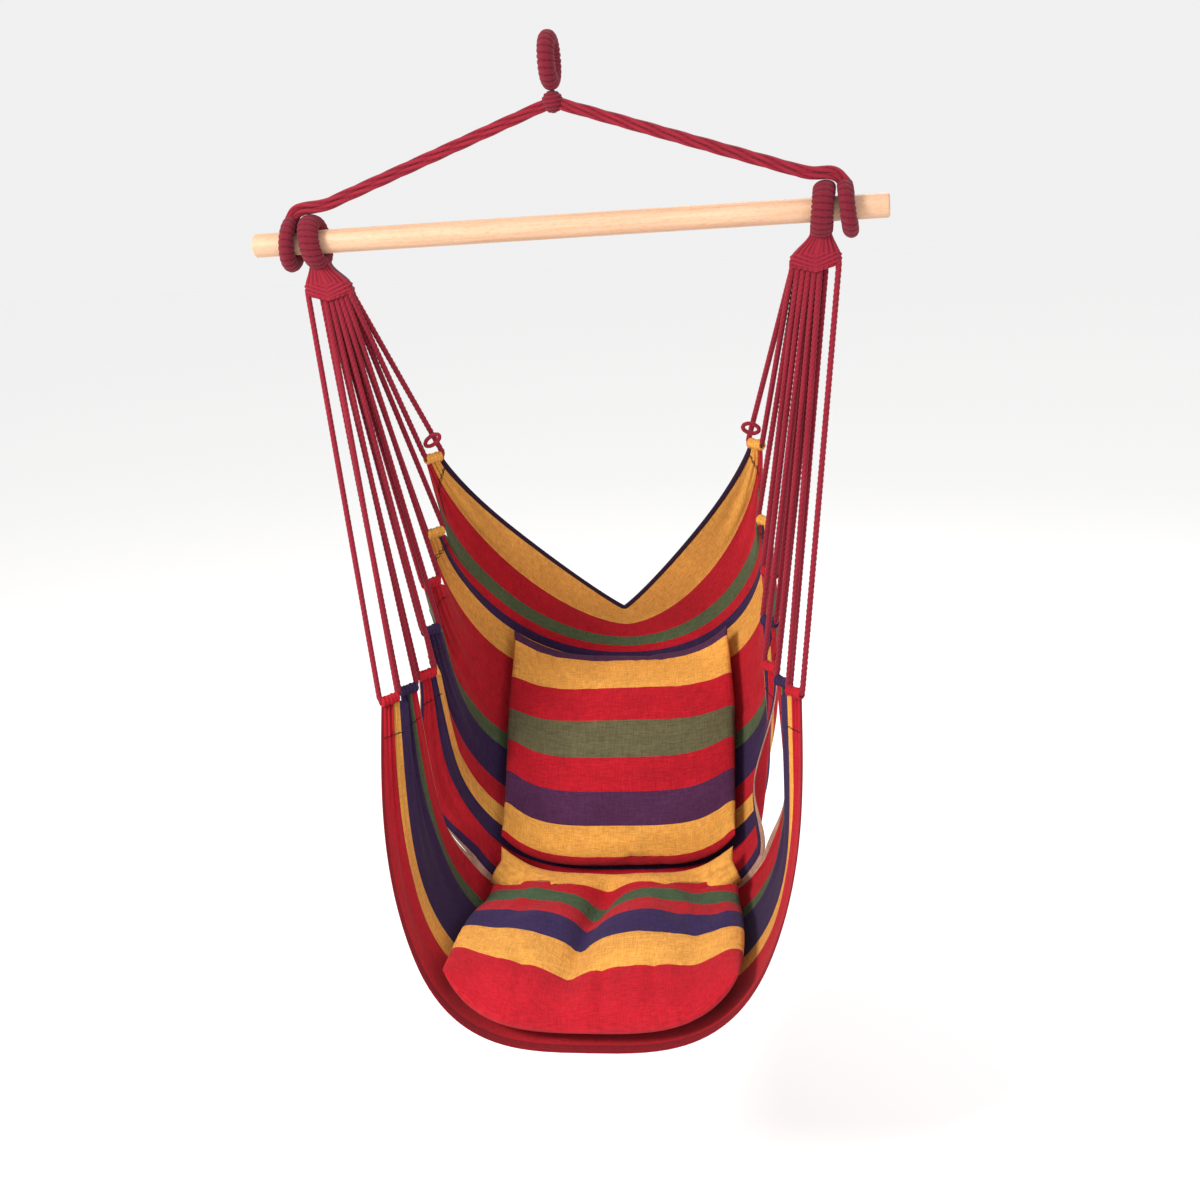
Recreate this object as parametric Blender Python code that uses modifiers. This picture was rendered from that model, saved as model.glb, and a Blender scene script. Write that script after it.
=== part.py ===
"""Hanging hammock chair: a canvas sling on two fans of cord, under a wooden spreader bar.

Frame: metres, +Z up, +X along the spreader bar, -Y is the way the sitter faces.
The origin is the inner crown of the rope eye, the point that rests on a hook.
Everything in the chair is measured from the axis of the spreader bar.
"""

import math

import bmesh
import bpy
import numpy as np
from mathutils import Matrix, Vector

# ---- clearances ---------------------------------------------------------------------
REST_GAP = 0.0003          # between pieces that touch
RUN_GAP = 0.0005           # round pieces that turn on each other

# ---- hanging eye and throat ---------------------------------------------------------
EYE_ROPE_RADIUS = 0.014
EYE_HOLE_HEIGHT = 0.032
EYE_HOLE_WIDTH = 0.026
THROAT_RADIUS = 0.016

# ---- spreader bar -------------------------------------------------------------------
BAR_LENGTH = 1.000
BAR_RADIUS = 0.0185
BAR_EDGE = 0.004
BAR_DROP = 0.262           # axis of the bar below the origin

# ---- rope loops round the bar -------------------------------------------------------
HANGER_LOOP_INSET = 0.0625     # from the bar's end to the middle of the loop
HANGER_LOOP_ROPE = 0.026
CHAIR_LOOP_INSET = 0.100
CHAIR_LOOP_THICK = 0.025
CHAIR_LOOP_WIDTH = 0.036
CHAIR_LOOP_LEAN = 0.10         # inboard shift for each metre of drop

# ---- hanger cords, four to a side ---------------------------------------------------
HANGER_CORD_RADIUS = 0.0045

# ---- clew, the woven shoulder that the chair's cords leave --------------------------
CLEW_WIDTH = 0.080
CLEW_DEPTH = 0.023
CLEW_NECK_WIDTH = 0.036
CLEW_HEIGHT = 0.030
CLEW_INBOARD = 0.0135          # middle of the shoulder, inboard of the loop

# ---- chair cords, one doubled cord to each gathered tab -----------------------------
CORD_RADIUS = 0.0035
CORD_PITCH = 0.0085            # between strands at the clew
CORD_OUTER_STEP = 0.028        # between the two strands of the front tab
CORD_BEND = 0.007              # beside the tab
CORD_LEAD = 0.010              # straight down out of the clew
TAB_WALL = 0.0018
TAB_LENGTH = 0.020
TAB_TURN = math.radians(48)    # the tab's channel, turned from across to fore-and-aft

# ---- sling cloth --------------------------------------------------------------------
CLOTH = 0.0024
FRONT_TAB_DROP = 0.733         # front tabs below the bar
WALL_HEIGHT = 0.455            # front tab down to the fold between seat and back
SEAT_DEPTH = 0.411             # fold to front hem
SEAT_FALL = 0.049              # front hem below the fold
BACK_LENGTH = 0.492            # fold to shoulder
BACK_LEAN = math.radians(37.6)
FLAP_LENGTH = 0.075            # shoulder to the sagging top edge
FLAP_LEAN = math.radians(-20)
FOLD_Y = 0.045
SLIT = 0.58                    # share of the cloth that is back, above the slits
SLIT_END = 0.56                # where the slit stops, as a share of the half width
SCALLOP = 0.016                # dip of the cloth's edge below the lower tab
SCALLOP_IN = 0.020             # the same dip, inboard, and to the back between back tabs
BINDING_RADIUS = 0.003
BINDING_LIFT = 0.0005           # binding above the cloth's rim
TIE_RADIUS = 0.0025
TIE_LENGTH = 0.036
TIE_RISE = 0.030               # up the corner cord from its bend

# Tabs from the back corner to the front hem: half width, fore-and-aft, rise above the front tab.
TABS = (
    (0.274, 0.105, 0.352),
    (0.284, 0.098, 0.222),
    (0.290, 0.058, 0.144),
    (0.288, 0.018, 0.072),
    (0.290, -0.030, 0.010),
    (0.312, -0.074, 0.000),
    (0.332, -0.120, 0.000),
)
BACK_TABS = 5

# ---- cushions -----------------------------------------------------------------------
COVER = 0.0015
SEAT_CUSHION = (0.560, 0.400, 0.080)     # across, along, thick
BACK_CUSHION = (0.500, 0.385, 0.075)
CUSHION_REST = 0.0012                    # cloth to cushion
FILL_INSET = 0.026                       # cover's seam to the filling's rim
FILL_REST = 0.0016                       # filling lying on the cover's lower face
FILL_SLACK = 0.0055                      # cover's inside to the filling's crown
SEAT_CUSHION_SHIFT = -0.004              # fold to the seat cushion's rear seam, forward
BACK_CUSHION_RISE = 0.066                # fold to the back cushion's lower seam, up the back
OPENING_SHARE = 0.5                      # share of the rear edge that is left open

SEAT_DROP = FRONT_TAB_DROP + WALL_HEIGHT
HANGER_LOOP_X = BAR_LENGTH / 2 - HANGER_LOOP_INSET
CHAIR_LOOP_X = BAR_LENGTH / 2 - CHAIR_LOOP_INSET
SLEEVE_RADIUS = CORD_RADIUS + REST_GAP + TAB_WALL
EYE_BOTTOM = -(EYE_HOLE_HEIGHT + 2 * EYE_ROPE_RADIUS)
THROAT_Z = EYE_BOTTOM - RUN_GAP - THROAT_RADIUS
CLEW_TOP = -(BAR_RADIUS + RUN_GAP + CHAIR_LOOP_THICK + REST_GAP)
CLEW_BOTTOM = CLEW_TOP - CLEW_HEIGHT
CLEW_X = CHAIR_LOOP_X - CLEW_INBOARD

SIDES = (("left", -1.0), ("right", 1.0))


# ---- scene, collections and materials -----------------------------------------------

def clear_scene():
    for obj in list(bpy.data.objects):
        bpy.data.objects.remove(obj, do_unlink=True)


def new_collection(name):
    collection = bpy.data.collections.new(name)
    bpy.context.scene.collection.children.link(collection)
    return collection


def material(name, colour, roughness, metallic=0.0):
    mat = bpy.data.materials.new(name)
    mat.use_nodes = True
    shader = mat.node_tree.nodes["Principled BSDF"]
    shader.inputs["Base Color"].default_value = (*colour, 1.0)
    shader.inputs["Roughness"].default_value = roughness
    shader.inputs["Metallic"].default_value = metallic
    mat.diffuse_color = (*colour, 1.0)
    return mat


clear_scene()
CHAIR_PARTS = new_collection("hammock_chair")
CUTTERS = new_collection("cutters")

ROPE = material("wine_cotton_rope", (0.25, 0.012, 0.045), 0.85)
CORD = material("red_cotton_cord", (0.36, 0.018, 0.045), 0.85)
WOOD = material("pale_beech", (0.75, 0.55, 0.38), 0.55)
CANVAS = material("striped_cotton_canvas", (0.54, 0.02, 0.03), 0.9)
NAVY = material("navy_cotton_tape", (0.03, 0.015, 0.04), 0.9)
FILLING = material("polyester_filling", (0.85, 0.85, 0.83), 0.95)


# ---- object helpers -----------------------------------------------------------------

def pivot(name, location, parent=None):
    """An empty on a joint's axis, which carries the pieces that turn about it."""
    empty = bpy.data.objects.new(name, None)
    empty.location = location
    empty.parent = parent
    CHAIR_PARTS.objects.link(empty)
    return empty


def place(obj, mat, parent, collection=CHAIR_PARTS):
    """Give a new object its finish, its parent and its collection."""
    obj.data.materials.clear()
    obj.data.materials.append(mat)
    obj.parent = parent
    for owner in list(obj.users_collection):
        owner.objects.unlink(obj)
    collection.objects.link(obj)
    return obj


def mesh_piece(name, points, faces, mat, parent, collection=CHAIR_PARTS):
    mesh = bpy.data.meshes.new(name)
    mesh.from_pydata([tuple(point) for point in points], [], faces)
    mesh.update()
    obj = bpy.data.objects.new(name, mesh)
    mesh.shade_smooth()
    return place(obj, mat, parent, collection)


def tube(name, points, radius, mat, parent, closed=False, resolution=2):
    """A round cord along a chain of points, with flat ends."""
    curve = bpy.data.curves.new(name, "CURVE")
    curve.dimensions = "3D"
    curve.bevel_depth = radius
    curve.bevel_resolution = resolution
    curve.use_fill_caps = not closed
    spline = curve.splines.new("POLY")
    spline.points.add(len(points) - 1)
    for spot, point in zip(spline.points, points):
        spot.co = (*point, 1.0)
    spline.use_cyclic_u = closed
    obj = bpy.data.objects.new(name, curve)
    return place(obj, mat, parent)


def smooth_step(value):
    value = np.clip(value, 0.0, 1.0)
    return value * value * (3.0 - 2.0 * value)


def smooth_curve(knots, points, values):
    """A smooth curve through a few points, with tangents taken from the neighbours."""
    knots = np.asarray(knots, float)
    points = np.asarray(points, float)
    tangents = np.gradient(points, knots, axis=0)
    values = np.atleast_1d(values).astype(float)
    index = np.clip(np.searchsorted(knots, values, side="right") - 1, 0, len(knots) - 2)
    span = (knots[index + 1] - knots[index])[:, None]
    t = ((values - knots[index]) / span[:, 0])[:, None]
    start = (1 + 2 * t) * (1 - t) ** 2 * points[index]
    leave = t * (1 - t) ** 2 * span * tangents[index]
    finish = t * t * (3 - 2 * t) * points[index + 1]
    arrive = t * t * (t - 1) * span * tangents[index + 1]
    return start + leave + finish + arrive


# ---- hanging eye, throat and hanger -------------------------------------------------

def hanging_eye(parent):
    """A closed ring of whipped rope, upright across the bar, crown at the origin."""
    half_height = EYE_HOLE_HEIGHT / 2 + EYE_ROPE_RADIUS
    half_width = EYE_HOLE_WIDTH / 2 + EYE_ROPE_RADIUS
    middle = -EYE_HOLE_HEIGHT / 2
    points = []
    for step in range(24):
        angle = 2 * math.pi * step / 24
        points.append((0.0, half_width * math.sin(angle), middle + half_height * math.cos(angle)))
    return tube("hanging_eye", points, EYE_ROPE_RADIUS, ROPE, parent, closed=True, resolution=4)


def throat_knot(parent):
    """The seizing under the eye, round so that the hanger can turn about it."""
    mesh = bpy.data.meshes.new("throat_knot")
    shape = bmesh.new()
    bmesh.ops.create_uvsphere(shape, u_segments=20, v_segments=12, radius=THROAT_RADIUS)
    shape.to_mesh(mesh)
    shape.free()
    mesh.shade_smooth()
    return place(bpy.data.objects.new("throat_knot", mesh), ROPE, parent)


def hanger_cords(side, sign, parent):
    """Four cords from the throat, over the chair loop, onto the top of the hanger loop."""
    bar = Vector((0.0, 0.0, -BAR_DROP - THROAT_Z))
    offset = HANGER_CORD_RADIUS + REST_GAP / 2
    crest = BAR_RADIUS + RUN_GAP + HANGER_LOOP_ROPE + REST_GAP + 2 * HANGER_CORD_RADIUS + REST_GAP / 2
    end = bar + Vector((sign * HANGER_LOOP_X, 0.0, crest))
    bend = bar + Vector((sign * (CHAIR_LOOP_X - CHAIR_LOOP_WIDTH / 2 - 0.004), 0.0, crest))
    along = bend.normalized()
    start = along * (THROAT_RADIUS + RUN_GAP)
    across = along.cross(Vector((0.0, sign, 0.0)))
    number = 1
    for up in (1.0, -1.0):
        for fore in (-1.0, 1.0):
            shift = Vector((0.0, fore * offset, 0.0))
            lift = Vector((0.0, 0.0, up * offset))
            mitre = (across + Vector((0.0, 0.0, 1.0))).normalized()
            mitre *= up * offset / mitre.dot(across)
            points = [start + shift + across * up * offset, bend + shift + mitre, end + shift + lift]
            tube(f"{side}_hanger_cord_{number}", points, HANGER_CORD_RADIUS, ROPE, parent)
            number += 1


def ring_mesh(name, radius, thick, width, lean, sign):
    """A ring round the bar's axis, wider than thick, leaning inboard towards the bottom."""
    bpy.ops.mesh.primitive_torus_add(
        major_segments=24, minor_segments=10, major_radius=radius, minor_radius=thick / 2)
    obj = bpy.context.active_object
    obj.name = name
    obj.data.transform(Matrix.Diagonal((1.0, 1.0, width / thick, 1.0)))
    obj.data.transform(Matrix.Rotation(math.pi / 2, 4, "Y"))
    shear = Matrix.Identity(4)
    shear[0][2] = sign * lean
    obj.data.transform(shear)
    obj.data.shade_smooth()
    return obj


def hanger_loop(side, sign, parent):
    radius = BAR_RADIUS + RUN_GAP + HANGER_LOOP_ROPE / 2
    obj = ring_mesh(f"{side}_hanger_loop", radius, HANGER_LOOP_ROPE, HANGER_LOOP_ROPE, 0.0, sign)
    place(obj, ROPE, parent)
    obj.location = (sign * HANGER_LOOP_X, 0.0, -BAR_DROP - THROAT_Z)
    return obj


def spreader_bar(parent):
    """A plain turned dowel with eased ends."""
    bpy.ops.mesh.primitive_cylinder_add(vertices=32, radius=BAR_RADIUS, depth=BAR_LENGTH)
    obj = bpy.context.active_object
    obj.name = "spreader_bar"
    obj.data.transform(Matrix.Rotation(math.pi / 2, 4, "Y"))
    obj.data.shade_smooth()
    obj.data.set_sharp_from_angle(angle=math.radians(40))
    easing = obj.modifiers.new("eased_ends", "BEVEL")
    easing.width = BAR_EDGE
    easing.segments = 2
    easing.limit_method = "ANGLE"
    easing.angle_limit = math.radians(60)
    return place(obj, WOOD, parent)


# ---- chair loops, clews and cords ---------------------------------------------------

def chair_loop(side, sign, parent):
    radius = BAR_RADIUS + RUN_GAP + CHAIR_LOOP_THICK / 2
    obj = ring_mesh(f"{side}_chair_loop", radius, CHAIR_LOOP_THICK, CHAIR_LOOP_WIDTH,
                    CHAIR_LOOP_LEAN, sign)
    place(obj, ROPE, parent)
    obj.location = (sign * CHAIR_LOOP_X, 0.0, 0.0)
    return obj


def rounded_section(half_width, half_depth, count):
    """Points round a section with flat faces and round corners."""
    angles = np.arange(count) * 2 * math.pi / count
    power = 0.6
    x = half_width * np.sign(np.cos(angles)) * np.abs(np.cos(angles)) ** power
    y = half_depth * np.sign(np.sin(angles)) * np.abs(np.sin(angles)) ** power
    return np.stack([x, y], axis=1)


def loft_faces(rings, count, flip=False):
    """Quads between rings of the same count, with a flat cap at each end."""
    faces = []
    for ring in range(rings - 1):
        for step in range(count):
            here = ring * count + step
            there = ring * count + (step + 1) % count
            faces.append((here, there, there + count, here + count))
    faces.append(tuple(range(count))[::-1])
    faces.append(tuple(range((rings - 1) * count, rings * count)))
    if flip:
        faces = [face[::-1] for face in faces]
    return faces


def clew(side, sign, parent):
    """The woven shoulder: narrow at the loop, wide where the cords leave."""
    count = 20
    rings = []
    for share in (0.0, 0.25, 0.55, 0.8, 1.0):
        spread = float(smooth_step(share))
        width = CLEW_NECK_WIDTH + (CLEW_WIDTH - CLEW_NECK_WIDTH) * spread
        neck_x = CHAIR_LOOP_X + CHAIR_LOOP_LEAN * CLEW_TOP
        middle = neck_x + (CLEW_X - neck_x) * spread
        section = rounded_section(width / 2, CLEW_DEPTH / 2, count)
        level = np.full((count, 1), CLEW_TOP - CLEW_HEIGHT * share)
        rings.append(np.hstack([section + (sign * middle, 0.0), level]))
    return mesh_piece(f"{side}_clew", np.vstack(rings), loft_faces(5, count, flip=True), CORD, parent)


def clew_slots():
    """Where the strands leave the clew: a front row and a back row, from the outside in."""
    front = [CLEW_X + CLEW_WIDTH / 2 - 0.0055]
    front += [front[0] - CORD_OUTER_STEP - CORD_PITCH * step for step in range(6)]
    back = [front[1] + CORD_PITCH - CORD_PITCH * step for step in range(7)]
    row = CORD_PITCH / 2 + REST_GAP
    return [(x, -row) for x in front], [(x, row) for x in back]


def tab_frame(index, sign):
    """Middle and direction of a tab's channel, from its outer front end to its inner back end."""
    half_width, fore, rise = TABS[index]
    middle = Vector((sign * half_width, fore, rise - FRONT_TAB_DROP))
    along = Vector((-sign * math.cos(TAB_TURN), math.sin(TAB_TURN), 0.0))
    return middle, along


def corner_arc(before, corner, after, radius, steps=3):
    """Points of an arc that rounds one corner of a cord's path."""
    inward = (before - corner).normalized()
    outward = (after - corner).normalized()
    half = inward.angle(outward) / 2
    reach = radius / math.tan(half)
    centre = corner + (inward + outward).normalized() * (radius / math.sin(half))
    first = corner + inward * reach - centre
    last = corner + outward * reach - centre
    turn = first.angle(last)
    points = []
    for step in range(steps + 1):
        share = step / steps
        blend = first * math.sin((1 - share) * turn) + last * math.sin(share * turn)
        points.append(centre + blend / math.sin(turn))
    return points


def strand_slots():
    """Outer and inner slot of each tab's doubled cord, from the back corner to the front."""
    front, back = clew_slots()
    slots = [(front[6], back[6]), (back[4], back[5])]
    slots += [(back[5 - step], front[7 - step]) for step in range(2, 6)]
    slots += [(front[0], front[1])]
    return slots


def strand_ends(index, sign):
    """For both strands of a tab's cord: the top, the end of the straight lead, the lower corner."""
    middle, along = tab_frame(index, sign)
    ends = []
    for (x, y), outward in zip(strand_slots()[index], (-along, along)):
        top = Vector((sign * x, y, CLEW_BOTTOM - REST_GAP))
        lead = top - Vector((0.0, 0.0, CORD_LEAD))
        rough = middle + outward * (TAB_LENGTH / 2 + CORD_BEND)
        half = (lead - rough).angle(-outward) / 2
        corner = middle + outward * (TAB_LENGTH / 2 + RUN_GAP + CORD_BEND / math.tan(half))
        ends.append((top, lead, corner))
    return ends


def chair_cords(side, sign, parent):
    """A doubled cord for each tab: down from the clew, through the channel and back up."""
    for index in range(len(TABS)):
        (top_a, lead_a, corner_a), (top_b, lead_b, corner_b) = strand_ends(index, sign)
        points = [top_a, lead_a]
        points += corner_arc(lead_a, corner_a, corner_b, CORD_BEND)
        points += corner_arc(corner_a, corner_b, lead_b, CORD_BEND)
        points += [lead_b, top_b]
        tube(f"{side}_cord_{index + 1}", points, CORD_RADIUS, CORD, parent)


# ---- sling cloth --------------------------------------------------------------------

def centre_line(share):
    """The middle of the cloth, from the back's top edge (0) to the front hem (1)."""
    fold = np.array([FOLD_Y, -SEAT_DROP])
    back = BACK_LENGTH * np.array([math.sin(BACK_LEAN), math.cos(BACK_LEAN)])
    shoulder = fold + back
    top = shoulder + FLAP_LENGTH * np.array([math.sin(FLAP_LEAN), math.cos(FLAP_LEAN)])
    seat = np.array([-SEAT_DEPTH, -SEAT_FALL])
    sag = np.array([0.0, -0.014])
    points = [top, shoulder, fold + 0.55 * back + 0.3 * sag, fold + 0.18 * back + 0.5 * sag,
              fold + 0.09 * seat + sag, fold + 0.5 * seat + sag, fold + seat]
    return smooth_curve([0.0, 0.11, 0.33, 0.49, 0.60, 0.79, 1.0], points, share)


def tab_shares():
    """Share of the cloth's length at the middle of each tab."""
    front_tabs = len(TABS) - BACK_TABS
    shares = [SLIT * (step + 0.5) / BACK_TABS for step in range(BACK_TABS)]
    shares += [SLIT + (1 - SLIT) * (step + 0.5) / front_tabs for step in range(front_tabs)]
    return shares


def squareness(share):
    """Exponent of each row's U: nearly a V at the top edge, squarer at seat and back."""
    return np.interp(share, [0.0, 0.10, 0.30, 0.70, 1.0], [1.10, 1.9, 3.1, 3.4, 3.2])


def cloth_row(share, reach, edge):
    """One row of the cloth, from the middle (reach 0) to the side edge (reach 1).

    The row is a superellipse between the centre line and its own edge points.
    """
    centre = centre_line(share)[0]
    power = 2.0 / float(squareness(share))
    angle = np.clip(reach, 0.0, 1.0) * math.pi / 2
    out = np.sin(angle) ** power
    down = np.cos(angle) ** power
    x = edge[:, 0] * out
    y = edge[:, 1] + (centre[0] - edge[:, 1]) * down
    z = edge[:, 2] + (centre[1] - edge[:, 2]) * down
    return np.stack([x, y, z], axis=1)


def hang_points():
    """Where the cloth leaves each channel, on the right side."""
    drop = SLEEVE_RADIUS - REST_GAP
    return np.array([(half, fore, rise - FRONT_TAB_DROP - drop) for half, fore, rise in TABS])


def wide_edge(share):
    """The side edge as it would run without the gathers, back and front parts apart."""
    points = hang_points()
    shares = np.array(tab_shares())
    part = slice(0, BACK_TABS) if share <= SLIT else slice(BACK_TABS, len(TABS))
    return np.array([np.interp(share, shares[part], points[part, axis]) for axis in range(3)])


def cloth_rows():
    """Share and gathered edge point of every row, back part first, then front part."""
    points = hang_points()
    shares = tab_shares()
    along = np.array([-math.cos(TAB_TURN), math.sin(TAB_TURN), 0.0])
    half = TAB_LENGTH / 2 - 0.0015
    rows = {"back": [], "front": []}
    for index, share in enumerate(shares):
        part = "back" if index < BACK_TABS else "front"
        first = index in (0, BACK_TABS)
        last = index in (BACK_TABS - 1, len(TABS) - 1)
        span = SLIT / BACK_TABS if part == "back" else (1 - SLIT) / (len(TABS) - BACK_TABS)
        if not first:
            aside = SCALLOP_IN if part == "back" else 0.0
            dip = (points[index] + points[index - 1]) / 2 + (-SCALLOP_IN, aside, 0.0)
            dip[2] = min(points[index][2], points[index - 1][2]) - SCALLOP
            rows[part].append((share - span / 2, dip))
        count = 3 if part == "back" else 5
        steps = np.linspace(-0.32, 0.32, count)
        steps[0] = -0.5 if first else steps[0]
        steps[-1] = 0.5 if last else steps[-1]
        for step, slide in zip(steps, np.linspace(1.0, -1.0, count)):
            rows[part].append((share + step * span, points[index] + along * half * slide))
    return rows


def sling_points(sign_count=15):
    """Grid of the whole cloth, with the two parts' meeting rows kept apart at the slits."""
    reach = np.linspace(0.0, 1.0, sign_count)
    gather = smooth_step((reach - 0.55) / 0.45)[:, None]
    rows = cloth_rows()
    grid = []
    for part in ("back", "front"):
        for share, pinched in rows[part]:
            nudge = -1e-6 if part == "back" else 1e-6
            wide = wide_edge(np.clip(share + nudge, 0.0, 1.0))
            edge = wide + (np.asarray(pinched) - wide) * gather
            grid.append(cloth_row(share, reach, edge))
    meet = len(rows["back"])
    free = smooth_step((reach - SLIT_END) / (1 - SLIT_END) * 1.6)[:, None]
    shared = (grid[meet - 1] + grid[meet]) / 2
    grid[meet - 1] = shared + (grid[meet - 1] - shared) * free
    grid[meet] = shared + (grid[meet] - shared) * free
    return grid, meet, reach


def sling_mesh(name, parent):
    """The open sheet as one mesh, left and right halves, slit on both sides."""
    grid, meet, reach = sling_points()
    keys = {}
    points = []

    def vertex(row, column):
        joined = row == meet and reach[abs(column)] <= SLIT_END
        key = (meet - 1, column) if joined else (row, column)
        if key not in keys:
            keys[key] = len(points)
            x, y, z = grid[key[0]][abs(column)]
            points.append((math.copysign(x, column) if column else 0.0, y, z))
        return keys[key]

    faces = []
    last = len(reach) - 1
    for row in range(len(grid) - 1):
        if row == meet - 1:
            continue
        for column in range(-last, last):
            faces.append((vertex(row, column), vertex(row, column + 1),
                          vertex(row + 1, column + 1), vertex(row + 1, column)))
    return mesh_piece(name, points, faces, CANVAS, parent)


def sleeve(index, side, sign, parent):
    """The sewn channel of one tab, a short tube that the cord runs through."""
    middle, along = tab_frame(index, sign)
    bpy.ops.mesh.primitive_cylinder_add(
        vertices=12, radius=SLEEVE_RADIUS, depth=TAB_LENGTH, end_fill_type="NOTHING")
    obj = bpy.context.active_object
    obj.name = f"{side}_sleeve_{index + 1}"
    turn = Vector((0.0, 0.0, 1.0)).rotation_difference(along).to_matrix().to_4x4()
    obj.data.transform(Matrix.Translation(middle) @ turn)
    wall = obj.modifiers.new("wall", "SOLIDIFY")
    wall.thickness = TAB_WALL
    wall.offset = -1.0
    place(obj, CANVAS, parent, CUTTERS)
    obj.hide_render = True
    obj.display_type = "WIRE"
    return obj


def sling(parent):
    """One cloth with seven gathered, hemmed tabs a side."""
    obj = sling_mesh("sling", parent)
    sheet = obj.modifiers.new("cloth", "SOLIDIFY")
    sheet.thickness = CLOTH
    sheet.offset = 0.0
    for side, sign in SIDES:
        for index in range(len(TABS)):
            sleeve(index, side, sign, parent)
    join = obj.modifiers.new("tabs", "BOOLEAN")
    join.operation = "UNION"
    join.operand_type = "COLLECTION"
    join.collection = CUTTERS
    join.solver = "EXACT"
    return obj


def back_binding(parent):
    """Tape along the top edge of the back, lying on the cloth's rim."""
    grid, _, _ = sling_points()
    rim = [Vector(point) for point in grid[0]]
    half = []
    for step in range(1, len(rim) - 1):
        run = rim[step + 1] - rim[step - 1]
        outward = (rim[step] - Vector(grid[1][step])).normalized()
        outward = (outward - run * outward.dot(run) / run.length_squared).normalized()
        half.append(rim[step] + outward * (BINDING_RADIUS + BINDING_LIFT))
    outward = (rim[0] - Vector(grid[1][0])).normalized()
    middle = rim[0] + outward * (BINDING_RADIUS + BINDING_LIFT) / math.sin(outward.angle(rim[1] - rim[0]))
    left = [Vector((-point.x, point.y, point.z)) for point in half[::-1]]
    return tube("back_edge_binding", left + [middle] + half, BINDING_RADIUS, NAVY, parent)


def corner_tie(side, sign, parent):
    """A small loop of cord tied to the corner cord, just above the corner tab."""
    _, lead, corner = strand_ends(0, sign)[1]
    strand = (lead - corner).normalized()
    inboard = Vector((-sign, 0.0, 0.0))
    inboard = (inboard - strand * inboard.dot(strand)).normalized()
    start = corner + strand * TIE_RISE + inboard * (CORD_RADIUS + TIE_RADIUS + REST_GAP)
    points = []
    for step in range(14):
        angle = 2 * math.pi * step / 14
        out = TIE_LENGTH / 2 * (1 - math.cos(angle))
        up = TIE_LENGTH / 4 * math.sin(angle)
        points.append(start + inboard * out + Vector((0.0, 0.0, up)))
    return tube(f"{side}_corner_tie", points, TIE_RADIUS, CORD, parent, closed=True)


# ---- cushions -----------------------------------------------------------------------

def cloth_surface(share, distance):
    """Point on the cloth at a share of its length and a distance out from its middle."""
    reach = np.linspace(0.0, 1.0, 60)
    edge = np.repeat(wide_edge(share)[None, :], len(reach), axis=0)
    row = cloth_row(share, reach, edge)
    steps = np.linalg.norm(np.diff(row, axis=0), axis=1)
    length = np.concatenate([[0.0], np.cumsum(steps)])
    point = np.array([np.interp(abs(distance), length, row[:, axis]) for axis in range(3)])
    point[0] = math.copysign(point[0], distance)
    return point


def cloth_normal(share, distance):
    """The cloth's direction towards the sitter."""
    step = 0.01
    along = cloth_surface(share + step, distance) - cloth_surface(share - step, distance)
    across = cloth_surface(share, distance + step) - cloth_surface(share, distance - step)
    normal = np.cross(along, across)
    return normal / np.linalg.norm(normal)


def share_at(distance):
    """Share of the centre line at a distance down from the back's top edge."""
    shares = np.linspace(0.0, 1.0, 400)
    line = centre_line(shares)
    length = np.concatenate([[0.0], np.cumsum(np.linalg.norm(np.diff(line, axis=0), axis=1))])
    return float(np.interp(distance, length, shares))


def fold_distance():
    """Distance from the back's top edge down to the fold."""
    shares = np.linspace(0.0, 1.0, 400)
    line = centre_line(shares)
    length = np.concatenate([[0.0], np.cumsum(np.linalg.norm(np.diff(line, axis=0), axis=1))])
    fold = np.array([FOLD_Y, -SEAT_DROP])
    return float(length[np.argmin(np.linalg.norm(line - fold, axis=1))])


def pillow(size, start, inset, under, over, cells=(12, 10)):
    """Two crowned faces on the cloth, meeting at the rim.

    Each face is the cloth's own surface lifted by half the thickness, and the
    thickness falls to nothing at the rim as the root of 1 - a**4. The faces
    stop short of the full crown by under and over.
    """
    across, along, thick = size
    columns, rows = cells
    faces_of = {}
    for lift, short in ((-1.0, under), (1.0, over)):
        points = np.zeros((rows + 1, columns + 1, 3))
        for row in range(rows + 1):
            b = 2 * row / rows - 1
            share = share_at(start + along * (b * (1 - 2 * inset / along) + 1) / 2)
            for column in range(columns + 1):
                a = 2 * column / columns - 1
                a = math.sin(a * math.pi / 2) * 0.35 + a * 0.65
                pull = 1 - 0.03 * (1 - a * a) * b * b
                crown = math.sqrt(max(0.0, 1 - a ** 4)) * math.sqrt(max(0.0, 1 - b ** 4))
                distance = a * (across / 2 - inset) * pull
                height = CLOTH / 2 + CUSHION_REST + thick / 2 + lift * (thick / 2 - short) * crown
                normal = cloth_normal(share, distance)
                points[row, column] = cloth_surface(share, distance) + normal * height
        faces_of[lift] = points
    return faces_of[-1.0], faces_of[1.0]


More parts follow.
